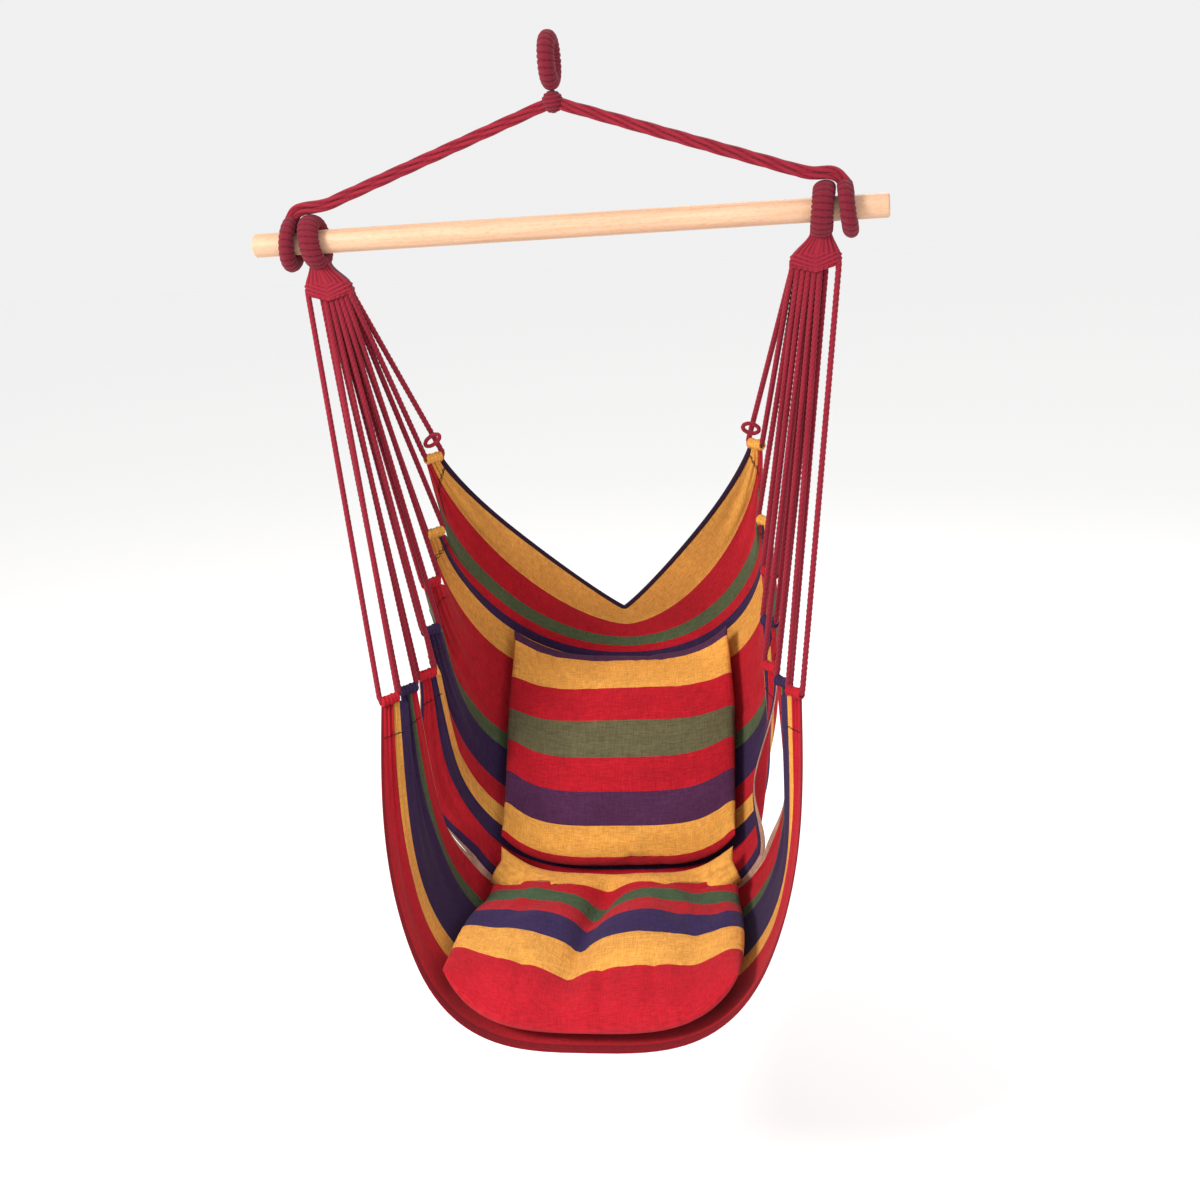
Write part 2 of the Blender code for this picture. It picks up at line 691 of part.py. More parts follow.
def pillow_mesh(name, lower, upper, mat, parent, opening=0.0):
    """Join the two faces round the rim, leaving the middle of the first row open."""
    rows, columns, _ = lower.shape
    keys = {}
    points = []
    half_open = int(round(opening * columns / 2))
    centre = (columns - 1) / 2

    def vertex(face, row, column):
        rim = row in (0, rows - 1) or column in (0, columns - 1)
        gaping = row == 0 and abs(column - centre) < half_open
        key = (0 if rim and not gaping else face, row, column)
        if key not in keys:
            keys[key] = len(points)
            spot = (lower if key[0] == 0 else upper)[row, column].copy()
            if gaping:
                spot += (upper[1, column] - lower[1, column]) * (0.06 if face else -0.06)
            points.append(spot)
        return keys[key]

    faces = []
    for row in range(rows - 1):
        for column in range(columns - 1):
            corners = ((row, column), (row, column + 1), (row + 1, column + 1), (row + 1, column))
            faces.append([vertex(1, *corner) for corner in corners][::-1])
            faces.append([vertex(0, *corner) for corner in corners])
    return mesh_piece(name, points, faces, mat, parent)


def cushion(name, size, start, parent):
    """A sewn cover with an opening in its rear seam, and the filling inside it."""
    lower, upper = pillow(size, start, 0.0, 0.0, 0.0)
    cover = pillow_mesh(f"{name}_cover", lower, upper, CANVAS, parent, OPENING_SHARE)
    wall = cover.modifiers.new("wall", "SOLIDIFY")
    wall.thickness = COVER
    wall.offset = -1.0
    lower, upper = pillow(size, start, FILL_INSET, COVER + FILL_REST, COVER + FILL_SLACK)
    pillow_mesh(f"{name}_filling", lower, upper, FILLING, parent)


# ---- assembly -----------------------------------------------------------------------

def build():
    eye = pivot("eye_seat", (0.0, 0.0, 0.0))
    throat = pivot("throat_axis", (0.0, 0.0, THROAT_Z), eye)
    bar = pivot("bar_axis", (0.0, 0.0, -BAR_DROP - THROAT_Z), throat)
    hanging_eye(eye)
    throat_knot(throat)
    spreader_bar(bar)
    for side, sign in SIDES:
        hanger_cords(side, sign, throat)
        hanger_loop(side, sign, throat)
        chair_loop(side, sign, bar)
        clew(side, sign, bar)
        chair_cords(side, sign, bar)
        corner_tie(side, sign, bar)
    sling(bar)
    back_binding(bar)
    fold = fold_distance()
    cushion("seat_cushion", SEAT_CUSHION, fold + SEAT_CUSHION_SHIFT, bar)
    cushion("back_cushion", BACK_CUSHION, fold - BACK_CUSHION_RISE - BACK_CUSHION[1], bar)


build()
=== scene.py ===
# %% [markdown]
# # A rope hammock chair
#
# A wooden spreader bar hangs from a whipped rope eye on two corded legs. A striped
# cloth sling hangs below the bar on fans of doubled cords, with two loose cushions
# in it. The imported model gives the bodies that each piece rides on. This lesson
# builds the ropes, the cloth and the cushions as they look, in metres, with the
# inner crown of the eye at the origin and the sitter facing -Y.

import math

import bpy
import numpy as np
from mathutils import Matrix


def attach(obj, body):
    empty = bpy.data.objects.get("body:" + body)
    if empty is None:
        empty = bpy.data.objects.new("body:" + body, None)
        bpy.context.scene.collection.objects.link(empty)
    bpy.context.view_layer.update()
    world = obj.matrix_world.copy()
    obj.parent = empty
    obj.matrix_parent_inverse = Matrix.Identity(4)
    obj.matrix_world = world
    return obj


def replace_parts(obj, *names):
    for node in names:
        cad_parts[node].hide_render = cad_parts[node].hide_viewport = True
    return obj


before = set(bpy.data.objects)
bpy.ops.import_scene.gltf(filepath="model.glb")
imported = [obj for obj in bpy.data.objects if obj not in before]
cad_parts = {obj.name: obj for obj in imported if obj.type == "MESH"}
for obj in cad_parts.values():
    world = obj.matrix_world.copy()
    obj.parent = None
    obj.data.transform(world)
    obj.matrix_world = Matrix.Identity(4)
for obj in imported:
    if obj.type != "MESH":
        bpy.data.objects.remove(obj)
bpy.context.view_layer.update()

SIDES = (("left", -1.0), ("right", 1.0))
BAR_Z = -0.262
BAR_RADIUS = 0.0185
# The legs' middle above the bar: a gap, the loop's rope, a gap, and one 9 mm cord and a bit.
LEG_LIFT = 0.0005 + 0.026 + 0.0003 + 0.00915
THROAT_Z = -0.0765
HANGER_LOOP_X = 0.4375
CHAIR_LOOP_X = 0.400
CLEW_X = 0.3865
CLEW_TOP_Z = BAR_Z - 0.0443
CLEW_BOTTOM_Z = CLEW_TOP_Z - 0.030

# %% [markdown]
# ## Materials
#
# Colours are sRGB hex codes, turned to linear in one place. Patterns are scaled from
# sizes in millimetres, given in each docstring. Every rope and cloth piece carries a
# `lay` vector. For rope, x and y are metres along and around, and z is how high the
# surface stands in its own ridges. For the sling and the cushions, x and y are metres
# across and along the cloth, and z picks the stripe.
#
# Spun cotton rope could be a smooth tube with its ridges drawn as bump. Here each
# ridge is real geometry, and the material paints shade on what lies low and light
# on the crests.


# %% Colour and node helpers
def linear(code):
    """sRGB hex to linear: ((c + 0.055) / 1.055) ** 2.4, or c / 12.92 below 0.04045."""
    values = np.array([int(code[i:i + 2], 16) for i in (1, 3, 5)]) / 255
    values = np.where(values > 0.04045, ((values + 0.055) / 1.055) ** 2.4, values / 12.92)
    return (*values, 1.0)


def add(tree, kind, settings=None, links=None):
    """Add one node with its settings, and join its inputs to other nodes' outputs."""
    node = tree.nodes.new(kind)
    for key, value in (settings or {}).items():
        if isinstance(key, int) or key in node.inputs:
            node.inputs[key].default_value = value
        else:
            setattr(node, key, value)
    for key, socket in (links or {}).items():
        tree.links.new(socket, node.inputs[key])
    return node


def new_material(name, **constants):
    """A material whose shader's constant inputs are set here."""
    made = bpy.data.materials.new(name)
    made.use_nodes = True
    shader = made.node_tree.nodes["Principled BSDF"]
    for key, value in constants.items():
        shader.inputs[key.replace("_", " ")].default_value = value
    return made, made.node_tree, shader


def ramp(tree, factor, stops, interpolation="LINEAR"):
    """A colour ramp from (position, hex code) stops."""
    node = add(tree, "ShaderNodeValToRGB", links={"Fac": factor})
    node.color_ramp.interpolation = interpolation
    elements = node.color_ramp.elements
    while len(elements) < len(stops):
        elements.new(1.0)
    for element, (position, code) in zip(elements, stops):
        element.position = position
        element.color = linear(code)
    return node


def mix(tree, blend, factor, first, second):
    """Mix two colours; factor is a number or an output."""
    node = add(tree, "ShaderNodeMix", {"data_type": "RGBA", "blend_type": blend})
    if isinstance(factor, float):
        node.inputs[0].default_value = factor
    else:
        tree.links.new(factor, node.inputs[0])
    tree.links.new(first, node.inputs[6])
    tree.links.new(second, node.inputs[7])
    return node.outputs[2]


# %% Cord and whipping
def rope_material(name, lit, shade, painted_groove_shade):
    """Spun cotton cord: matt, a little fuzzy, darker between its strands.

    Its fibres are about 1 mm across and its faded patches about 70 mm. Its colour is
    painted light on the crests and painted shade lower down, darkest in the grooves.
    """
    made, tree, shader = new_material(name, Roughness=0.88, IOR=1.46, Sheen_Weight=0.10,
                                      Sheen_Roughness=0.5, Specular_IOR_Level=0.2)
    lay = add(tree, "ShaderNodeAttribute", {"attribute_name": "lay"})
    parts = add(tree, "ShaderNodeSeparateXYZ", links={"Vector": lay.outputs["Vector"]})
    fibre = add(tree, "ShaderNodeTexNoise", {"Scale": 900.0, "Detail": 3.0},
                {"Vector": lay.outputs["Vector"]})
    patch = add(tree, "ShaderNodeTexNoise", {"Scale": 14.0, "Detail": 2.0},
                {"Vector": lay.outputs["Vector"]})
    # Painted light and shade by height: lit colour on crests, painted shade lower, darkest in
    # grooves.
    painted_light_and_shade = ramp(tree, parts.outputs["Z"], [(0.0, painted_groove_shade), (0.35, shade), (1.0, lit)])
    speckle = ramp(tree, fibre.outputs["Fac"], [(0.3, "#B0B0B0"), (0.75, "#FFFFFF")])
    faded = ramp(tree, patch.outputs["Fac"], [(0.3, "#D8D8D8"), (0.7, "#FFFFFF")])
    colour = mix(tree, "MULTIPLY", 1.0, painted_light_and_shade.outputs["Color"], speckle.outputs["Color"])
    colour = mix(tree, "MULTIPLY", 1.0, colour, faded.outputs["Color"])
    bump = add(tree, "ShaderNodeBump", {"Strength": 0.35, "Distance": 0.0006},
               {"Height": fibre.outputs["Fac"]})
    tree.links.new(colour, shader.inputs["Base Color"])
    tree.links.new(bump.outputs["Normal"], shader.inputs["Normal"])
    return made


# Each rope's colours: painted light on crests, painted shade lower, darkest in grooves.
WHIPPING = rope_material("whipped cotton rope", "#96233A", "#7C192C", "#3A0812")
CORD = rope_material("laid cotton cord", "#BC2A42", "#9A2034", "#520C1A")


# %% [markdown]
# The canvas is woven from dyed yarn, so its stripes go right through it. An image
# could hold them, but a ramp of flat steps, read at the place along the cloth, bends
# with the cloth and stays sharp. Each stop is a share of the piece's length.

# %% Striped canvas
RED = "#C01C2C"
YELLOW = "#F0AE52"
GREEN = "#566647"
NAVY = "#3A2650"
PURPLE = "#542D52"
SELVEDGE = "#C9A08A"

# The last step, #8E1424, is a darker red painted as shade on the rolled front hem.
SLING_STRIPES = [
    (0.000, YELLOW), (0.060, RED), (0.104, GREEN), (0.128, RED), (0.142, NAVY),
    (0.160, YELLOW), (0.205, RED), (0.325, GREEN), (0.352, NAVY), (0.415, RED),
    (0.452, YELLOW), (0.482, NAVY), (0.515, RED), (0.560, NAVY), (0.578, SELVEDGE),
    (0.582, RED), (0.630, GREEN), (0.665, NAVY), (0.822, YELLOW), (0.870, RED),
    (0.980, "#8E1424"),
]
SEAT_STRIPES = [
    (0.000, YELLOW), (0.115, RED), (0.265, "#4A6648"), (0.390, RED), (0.480, "#38285C"),
    (0.615, YELLOW), (0.800, RED),
]
BACK_STRIPES = [
    (0.000, PURPLE), (0.045, YELLOW), (0.215, RED), (0.370, "#68664A"), (0.520, RED),
    (0.670, PURPLE), (0.825, YELLOW), (0.965, RED),
]


def canvas_material(name, stripes):
    """Plain-woven cotton canvas in dyed stripes, matt, with uneven threads both ways.

    The coloured threads are about 1.4 mm wide. The raised ones are 3 mm apart, coarser
    than in a real canvas, so that they show.
    """
    made, tree, shader = new_material(name, Roughness=0.92, IOR=1.46, Sheen_Weight=0.06,
                                      Sheen_Roughness=0.6, Specular_IOR_Level=0.1)
    lay = add(tree, "ShaderNodeAttribute", {"attribute_name": "lay"})
    parts = add(tree, "ShaderNodeSeparateXYZ", links={"Vector": lay.outputs["Vector"]})
    colour = ramp(tree, parts.outputs["Z"], stripes, "CONSTANT").outputs["Color"]
    weft = add(tree, "ShaderNodeMapping", {"Scale": (60.0, 700.0, 1.0)},
               {"Vector": lay.outputs["Vector"]})
    warp = add(tree, "ShaderNodeMapping", {"Scale": (700.0, 60.0, 1.0)},
               {"Vector": lay.outputs["Vector"]})
    for mapped, dark in ((weft, "#B4A8A8"), (warp, "#C4B4B0")):
        threads = add(tree, "ShaderNodeTexNoise", {"Scale": 1.0, "Detail": 2.0},
                      {"Vector": mapped.outputs["Vector"]})
        tone = ramp(tree, threads.outputs["Fac"], [(0.32, dark), (0.62, "#FFFFFF")])
        colour = mix(tree, "MULTIPLY", 0.5, colour, tone.outputs["Color"])
    worn = add(tree, "ShaderNodeTexNoise", {"Scale": 9.0, "Detail": 3.0},
               {"Vector": lay.outputs["Vector"]})
    tone = ramp(tree, worn.outputs["Fac"], [(0.3, "#DADADA"), (0.7, "#FFFFFF")])
    colour = mix(tree, "MULTIPLY", 0.6, colour, tone.outputs["Color"])
    waves = []
    for axis in ("X", "Y"):
        wave = add(tree, "ShaderNodeTexWave", {"bands_direction": axis, "Scale": 105.0},
                   {"Vector": lay.outputs["Vector"]})
        waves.append(wave.outputs["Fac"])
    weave = add(tree, "ShaderNodeMath", {"operation": "MULTIPLY"}, {0: waves[0], 1: waves[1]})
    bump = add(tree, "ShaderNodeBump", {"Strength": 0.3, "Distance": 0.0006},
               {"Height": weave.outputs["Value"]})
    tree.links.new(colour, shader.inputs["Base Color"])
    tree.links.new(bump.outputs["Normal"], shader.inputs["Normal"])
    return made


SLING_CANVAS = canvas_material("striped sling canvas", SLING_STRIPES)
SEAT_CANVAS = canvas_material("striped seat canvas", SEAT_STRIPES)
BACK_CANVAS = canvas_material("striped back canvas", BACK_STRIPES)
TAPE = canvas_material("dark woven edge tape", [(0.0, "#2B1430"), (1.0, "#2B1430")])
THREAD = canvas_material("dark sewing thread", [(0.0, "#4A2A18"), (1.0, "#4A2A18")])


# %% [markdown]
# The bar is a sanded dowel. Wood grain runs along it, so the noise that draws the
# grain is stretched along X and squeezed across it.


# %% Beech dowel
def beech_material():
    """Pale beech dowel, sanded: long faint grain and short rays, satin.

    The grain is about 6 mm wide and 170 mm long, and the rays are 1 mm by 8 mm.
    """
    made, tree, shader = new_material("sanded beech dowel", Roughness=0.5, IOR=1.5,
                                      Specular_IOR_Level=0.4)
    place = add(tree, "ShaderNodeTexCoord")
    long = add(tree, "ShaderNodeMapping", {"Scale": (6.0, 160.0, 160.0)},
               {"Vector": place.outputs["Object"]})
    short = add(tree, "ShaderNodeMapping", {"Scale": (120.0, 900.0, 900.0)},
                {"Vector": place.outputs["Object"]})
    grain = add(tree, "ShaderNodeTexNoise", {"Scale": 1.0, "Detail": 4.0, "Distortion": 0.4},
                {"Vector": long.outputs["Vector"]})
    rays = add(tree, "ShaderNodeTexNoise", {"Scale": 1.0, "Detail": 2.0},
               {"Vector": short.outputs["Vector"]})
    base = ramp(tree, grain.outputs["Fac"],
                [(0.25, "#C89D7C"), (0.5, "#D2AA8B"), (0.8, "#DAB698")])
    flecks = ramp(tree, rays.outputs["Fac"], [(0.3, "#D9C6B4"), (0.5, "#FFFFFF")])
    colour = mix(tree, "MULTIPLY", 0.5, base.outputs["Color"], flecks.outputs["Color"])
    bump = add(tree, "ShaderNodeBump", {"Strength": 0.15, "Distance": 0.0003},
               {"Height": grain.outputs["Fac"]})
    tree.links.new(colour, shader.inputs["Base Color"])
    tree.links.new(bump.outputs["Normal"], shader.inputs["Normal"])
    return made


BEECH = beech_material()
print("materials:", len(bpy.data.materials))

# %% [markdown]
# ## From grids to meshes
#
# Every piece is a grid of points, whole arrays at a time. A curve with a bevel would
# make a rope too, but only a smooth one. A ring of points carried along a path lets a
# formula say how far each point stands out.


# %% Mesh helpers
def grid_faces(rows, columns, wrap_rows=False, wrap_columns=True):
    """Quads over a rows by columns grid, closed round on itself where it wraps."""
    i = np.arange(rows if wrap_rows else rows - 1)[:, None]
    j = np.arange(columns if wrap_columns else columns - 1)[None, :]
    down = ((i + 1) % rows) * columns
    side = (j + 1) % columns
    quads = np.broadcast_arrays(i * columns + j, down + j, down + side, i * columns + side)
    return np.stack(quads, axis=-1).reshape(-1, 4)


def end_caps(rows, columns):
    """The two end rings of a grid that wraps round, each as one face."""
    return [tuple(range(columns)), tuple(range((rows - 1) * columns, rows * columns))]


def outward(points, faces):
    """Faces turned over if the closed mesh's signed volume is below nothing."""
    corner = points[faces[:, 0]]
    volume = 0.0
    for second, third in ((1, 2), (2, 3)):
        normal = np.cross(points[faces[:, second]], points[faces[:, third]])
        volume += np.einsum("ij,ij->", corner, normal)
    return faces if volume > 0 else faces[:, ::-1]


def make_piece(name, points, faces, lay, made, body, caps=()):
    """One smooth object from points, quads and end caps, riding on its body."""
    mesh = bpy.data.meshes.new(name)
    faces = outward(points, faces)
    mesh.from_pydata(points.tolist(), [], faces.tolist() + [list(cap) for cap in caps])
    mesh.shade_smooth()
    mesh.attributes.new("lay", "FLOAT_VECTOR", "POINT").data.foreach_set(
        "vector", np.ascontiguousarray(lay, np.float32).ravel())
    mesh.materials.append(made)
    obj = bpy.data.objects.new(name, mesh)
    bpy.context.scene.collection.objects.link(obj)
    if caps:
        bpy.context.view_layer.objects.active = obj
        obj.select_set(True)
        bpy.ops.object.mode_set(mode="EDIT")
        bpy.ops.mesh.select_all(action="SELECT")
        bpy.ops.mesh.normals_make_consistent(inside=False)
        bpy.ops.object.mode_set(mode="OBJECT")
        obj.select_set(False)
    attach(obj, body)
    return obj


def run_lengths(path):
    """Distance along a chain of points, at each of its points."""
    return np.concatenate([[0.0], np.cumsum(np.linalg.norm(np.diff(path, axis=0), axis=1))])


def resample(path, step):
    """Points at even distances along a chain of points, and those distances."""
    path = np.asarray(path, float)
    lengths = run_lengths(path)
    count = max(4, int(math.ceil(lengths[-1] / step)))
    even = np.linspace(0.0, lengths[-1], count + 1)
    return np.stack([np.interp(even, lengths, path[:, k]) for k in range(3)], axis=1), even


def unit(vectors):
    """Vectors scaled to length 1."""
    return vectors / np.linalg.norm(vectors, axis=-1, keepdims=True)


def tube(path, across, radii, closed=False):
    """Points round a path: P + r (side cos a + up sin a), with up = T x side.

    across is a direction never along the path, and radii is a rings by around array.
    """
    if closed:
        tangent = np.roll(path, -1, axis=0) - np.roll(path, 1, axis=0)
    else:
        tangent = np.gradient(path, axis=0)
    tangent = unit(tangent)
    side = unit(np.cross(tangent, np.broadcast_to(across, tangent.shape)))
    up = np.cross(tangent, side)
    angle = np.arange(radii.shape[1]) * 2 * math.pi / radii.shape[1]
    ring = side[:, None] * np.cos(angle)[:, None] + up[:, None] * np.sin(angle)[:, None]
    return path[:, None] + ring * radii[..., None], angle


def laid_cord(name, path, across, radius, made, body, pitch=0.022, around=10, step=0.0022):
    """A three-strand cord: r = R (0.80 + 0.20 |cos(1.5 (a - 2 pi s / pitch))|)."""
    path, along = resample(path, step)
    angle = np.arange(around) * 2 * math.pi / around
    ridge = np.abs(np.cos(1.5 * (angle[None, :] - 2 * math.pi * along[:, None] / pitch)))
    points, angle = tube(path, across, radius * (0.80 + 0.20 * ridge))
    lay = np.stack(np.broadcast_arrays(along[:, None], angle * radius, ridge), axis=-1)
    rows, columns = ridge.shape
    caps = end_caps(rows, columns)
    return make_piece(name, points.reshape(-1, 3), grid_faces(rows, columns),
                      lay.reshape(-1, 3), made, body, caps), path


# %% [markdown]
# ## The bar and the whipped loops
#
# The bar is a profile carried round its axis, with rounded ends. Each loop round it is
# whipped: a thin cord is wound tightly round a core. A real winding could be modelled
# as one long coil, but a torus that stands out by the root of 1 - u squared across each
# turn, u being the place across it, looks much the same and stays one closed surface.


# %% Bar
def turned_bar():
    """A dowel: radius R, with a rounded edge of 4 mm at each end."""
    radius, half, edge = BAR_RADIUS, 0.500, 0.004
    bend = np.linspace(0.0, math.pi / 2, 8)
    x = np.concatenate([[0.0], edge - edge * np.cos(bend)])
    r = np.concatenate([[0.0005], radius - edge + edge * np.sin(bend)])
    x = np.concatenate([x - half, np.linspace(-half + 0.02, half - 0.02, 60), half - x[::-1]])
    r = np.concatenate([r, np.full(60, radius), r[::-1]])
    angle = np.arange(64) * 2 * math.pi / 64
    points = np.stack(np.broadcast_arrays(
        x[:, None], r[:, None] * np.cos(angle), BAR_Z + r[:, None] * np.sin(angle)), axis=-1)
    rows = len(x)
    caps = end_caps(rows, 64)
    lay = points.reshape(-1, 3)
    return make_piece("beech_bar", lay, grid_faces(rows, 64), lay, BEECH, "bar", caps)


bar = turned_bar()
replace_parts(bar, "spreader_bar")
print("bar points:", len(bar.data.vertices))


# %% Whipped rings
def whipped_ring(name, centre, half_y, half_z, rope, width, lean, turns, body, bulge=0.0016):
    """A ring about X, wound with cord: section r = core + bulge sqrt(1 - u^2)."""
    count, around = turns * 9, 28
    turn = np.arange(count)[:, None] * 2 * math.pi / count
    angle = np.arange(around)[None, :] * 2 * math.pi / around
    wind = (turns * turn + angle) / (2 * math.pi)
    u = 2 * (wind % 1.0) - 1.0
    ridge = np.sqrt(np.clip(1.0 - u * u, 0.0, 1.0))
    out = 1.0 - bulge / rope + bulge / rope * ridge
    radial = rope * out * np.cos(angle)
    x = width * out * np.sin(angle)
    y = (half_y + radial) * np.sin(turn)
    z = (half_z + radial) * np.cos(turn)
    x = x + lean * z
    points = np.stack([x + centre[0], y + centre[1], z + centre[2]], axis=-1)
    lay = np.stack(np.broadcast_arrays(turn * half_z, angle * rope, ridge), axis=-1)
    faces = grid_faces(count, around, wrap_rows=True)
    return make_piece(name, points.reshape(-1, 3), faces, lay.reshape(-1, 3),
                      WHIPPING, body)


eye = whipped_ring("whipped_eye", (0.0, 0.0, -0.016), 0.028, 0.0305, 0.0140, 0.0135, 0.0,
                   24, "eye", bulge=0.0026)
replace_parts(eye, "hanging_eye")
for side, sign in SIDES:
    ring = whipped_ring(f"{side}_whipped_hanger_loop", (sign * HANGER_LOOP_X, 0.0, BAR_Z),
                        0.0320, 0.0320, 0.0130, 0.0125, -sign * 0.10, 24, "hanger", 0.0022)
    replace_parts(ring, f"{side}_hanger_loop")
    ring = whipped_ring(f"{side}_whipped_chair_loop", (sign * CHAIR_LOOP_X, 0.0, BAR_Z),
                        0.0313, 0.0313, 0.0124, 0.0175, sign * 0.10, 25, "chair", 0.0024)
    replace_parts(ring, f"{side}_chair_loop")
print("loops done")


# %% [markdown]
# ## The throat and the hanger's legs
#
# Under the eye a short seizing holds the two legs. Each leg is four laid cords that
# run over the chair's loop and down into the hanger's own loop. They are pulled taut,
# so each is a straight path with rounded bends, and the four lie partly in each other,
# as soft cords do when they are drawn together.


# %% Throat
def throat_ball():
    """A seizing wound round the junction: a ball of radius 15 to 17 mm, with turns on it."""
    rows, columns, turns = 40, 36, 8
    polar = np.linspace(0.02, math.pi - 0.02, rows)[:, None]
    angle = np.arange(columns)[None, :] * 2 * math.pi / columns
    u = 2 * ((turns * polar / math.pi + angle / (2 * math.pi)) % 1.0) - 1.0
    ridge = np.sqrt(np.clip(1.0 - u * u, 0.0, 1.0))
    r = 0.0148 + 0.0022 * ridge
    points = np.stack([r * np.sin(polar) * np.cos(angle), r * np.sin(polar) * np.sin(angle),
                       r * np.cos(polar) + THROAT_Z], axis=-1)
    lay = np.stack(np.broadcast_arrays(polar * 0.015, angle * 0.015, ridge), axis=-1)
    caps = end_caps(rows, columns)
    return make_piece("seized_throat", points.reshape(-1, 3), grid_faces(rows, columns),
                      lay.reshape(-1, 3), WHIPPING, "throat", caps)


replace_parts(throat_ball(), "throat_knot")
print("throat done")


# %% Legs
def rounded(points, reach, steps=6):
    """The same chain with each corner swapped for a smooth bend of that reach."""
    points = np.asarray(points, float)
    out = [points[:1]]
    share = np.linspace(0.0, 1.0, steps)[:, None]
    for before, corner, after in zip(points[:-2], points[1:-1], points[2:]):
        first = corner + unit(before - corner) * min(reach, np.linalg.norm(before - corner) / 2)
        last = corner + unit(after - corner) * min(reach, np.linalg.norm(after - corner) / 2)
        out.append((1 - share) ** 2 * first + 2 * share * (1 - share) * corner
                   + share ** 2 * last)
    out.append(points[-1:])
    return np.concatenate(out)


def hanger_leg(side, sign):
    """Four cords in a square bundle, from the throat over the chair's loop into the ring."""
    radius, offset = 0.0054, 0.0046
    crest = BAR_Z + BAR_RADIUS + LEG_LIFT
    start = np.array([0.0, 0.0, THROAT_Z])
    bend = np.array([sign * 0.380, 0.0, crest])
    over = np.array([sign * 0.4215, 0.0, crest - 0.001])
    end = np.array([sign * 0.4370, 0.0, BAR_Z + 0.034])
    along = unit(bend - start)
    across = np.cross(along, (0.0, sign, 0.0))
    start = start + along * 0.0130
    number = 0
    for up in (1.0, -1.0):
        for fore in (-1.0, 1.0):
            number += 1
            shift = np.array([0.0, fore * offset, 0.0])
            path = rounded([start + (shift + across * up * offset) * 0.8,
                            bend + shift + (0.0, 0.0, up * offset),
                            over + shift + (up * sign * 0.003, 0.0, up * offset),
                            end + shift + (up * sign * offset, 0.0, 0.0)], 0.016, steps=9)
            name = f"{side}_leg_cord_{number}"
            piece, _ = laid_cord(name, path, (0.0, 1.0, 0.0), radius, CORD, "hanger",
                                 pitch=0.140, around=15)
            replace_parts(piece, f"{side}_hanger_cord_{number}")


for side, sign in SIDES:
    hanger_leg(side, sign)
print("legs done")

# %% [markdown]
# ## The sling
#
# The sling is one sheet. Its rows run from side to side, each a superellipse hung
# between a point of the centre line and the two side edges. A hung cloth could be
# simulated from flat, but its seven tabs a side have to end on the cords, so the rows
# are worked out and then pleated. A slit on each side frees the front part.

# %% Sling dimensions
TAB_Z = BAR_Z - 0.733
TABS = np.array([
    (0.274, 0.105, 0.352), (0.284, 0.098, 0.222), (0.290, 0.058, 0.144),
    (0.288, 0.018, 0.072), (0.290, -0.030, 0.010), (0.312, -0.074, 0.000),
    (0.332, -0.120, 0.000),
])
BACK_TABS = 5
TAB_TURN = math.radians(48)
SLEEVE = 0.0056
TAB_WIDTH = 0.034
FOLD = np.array([0.045, TAB_Z - 0.455])
BACK_LEAN, FLAP_LEAN = math.radians(37.6), math.radians(-20)
BACK_REACH = 0.492 * np.array([math.sin(BACK_LEAN), math.cos(BACK_LEAN)])
FLAP_REACH = 0.075 * np.array([math.sin(FLAP_LEAN), math.cos(FLAP_LEAN)])
SEAT_REACH = np.array([-0.411, -0.049])
SLIT = 0.58
SLIT_END = 0.56
SCALLOP = 0.010
SCALLOP_IN = 0.013
CLOTH_THICKNESS = 0.0018


def smooth_step(value):
    """3 t^2 - 2 t^3, held at 0 and 1 outside its range."""
    value = np.clip(value, 0.0, 1.0)
    return value * value * (3.0 - 2.0 * value)


def hermite(knots, points, values):
    """A smooth curve through a few points, with tangents taken from the neighbours."""
    slopes = np.gradient(points, knots, axis=0)
    index = np.clip(np.searchsorted(knots, values, side="right") - 1, 0, len(knots) - 2)
    span = (knots[index + 1] - knots[index])[:, None]
    t = ((values - knots[index])[:, None]) / span
    return ((1 + 2 * t) * (1 - t) ** 2 * points[index] + t * (1 - t) ** 2 * span * slopes[index]
            + t * t * (3 - 2 * t) * points[index + 1]
            + t * t * (t - 1) * span * slopes[index + 1])


def centre_line(share):
    """Y and Z of the cloth's middle, from the back's top edge (0) to the front hem (1)."""
    sag = np.array([0.0, -0.014])
    shoulder = FOLD + BACK_REACH
    points = np.array([shoulder + FLAP_REACH, shoulder, FOLD + 0.55 * BACK_REACH + 0.3 * sag,
                       FOLD + 0.18 * BACK_REACH + 0.5 * sag, FOLD + 0.09 * SEAT_REACH + sag,
                       FOLD + 0.5 * SEAT_REACH + sag, FOLD + SEAT_REACH])
    knots = np.array([0.0, 0.11, 0.33, 0.49, 0.60, 0.79, 1.0])
    return hermite(knots, points, np.asarray(share, float))


CLOTH_LENGTH = float(np.linalg.norm(np.diff(centre_line(np.linspace(0, 1, 400)), axis=0),
                                    axis=1).sum())
print("cloth along its middle:", round(CLOTH_LENGTH, 3), "m")


def tab_shares():
    """Share of the cloth's length at the middle of each tab."""
    front = len(TABS) - BACK_TABS
    back = SLIT * (np.arange(BACK_TABS) + 0.5) / BACK_TABS
    return np.concatenate([back, SLIT + (1 - SLIT) * (np.arange(front) + 0.5) / front])


def hang_points():
    """Where the cloth leaves each tab's channel, on the right side."""
    return TABS + (0.0, 0.0, TAB_Z) - (0.0, 0.0, SLEEVE - 0.0003)


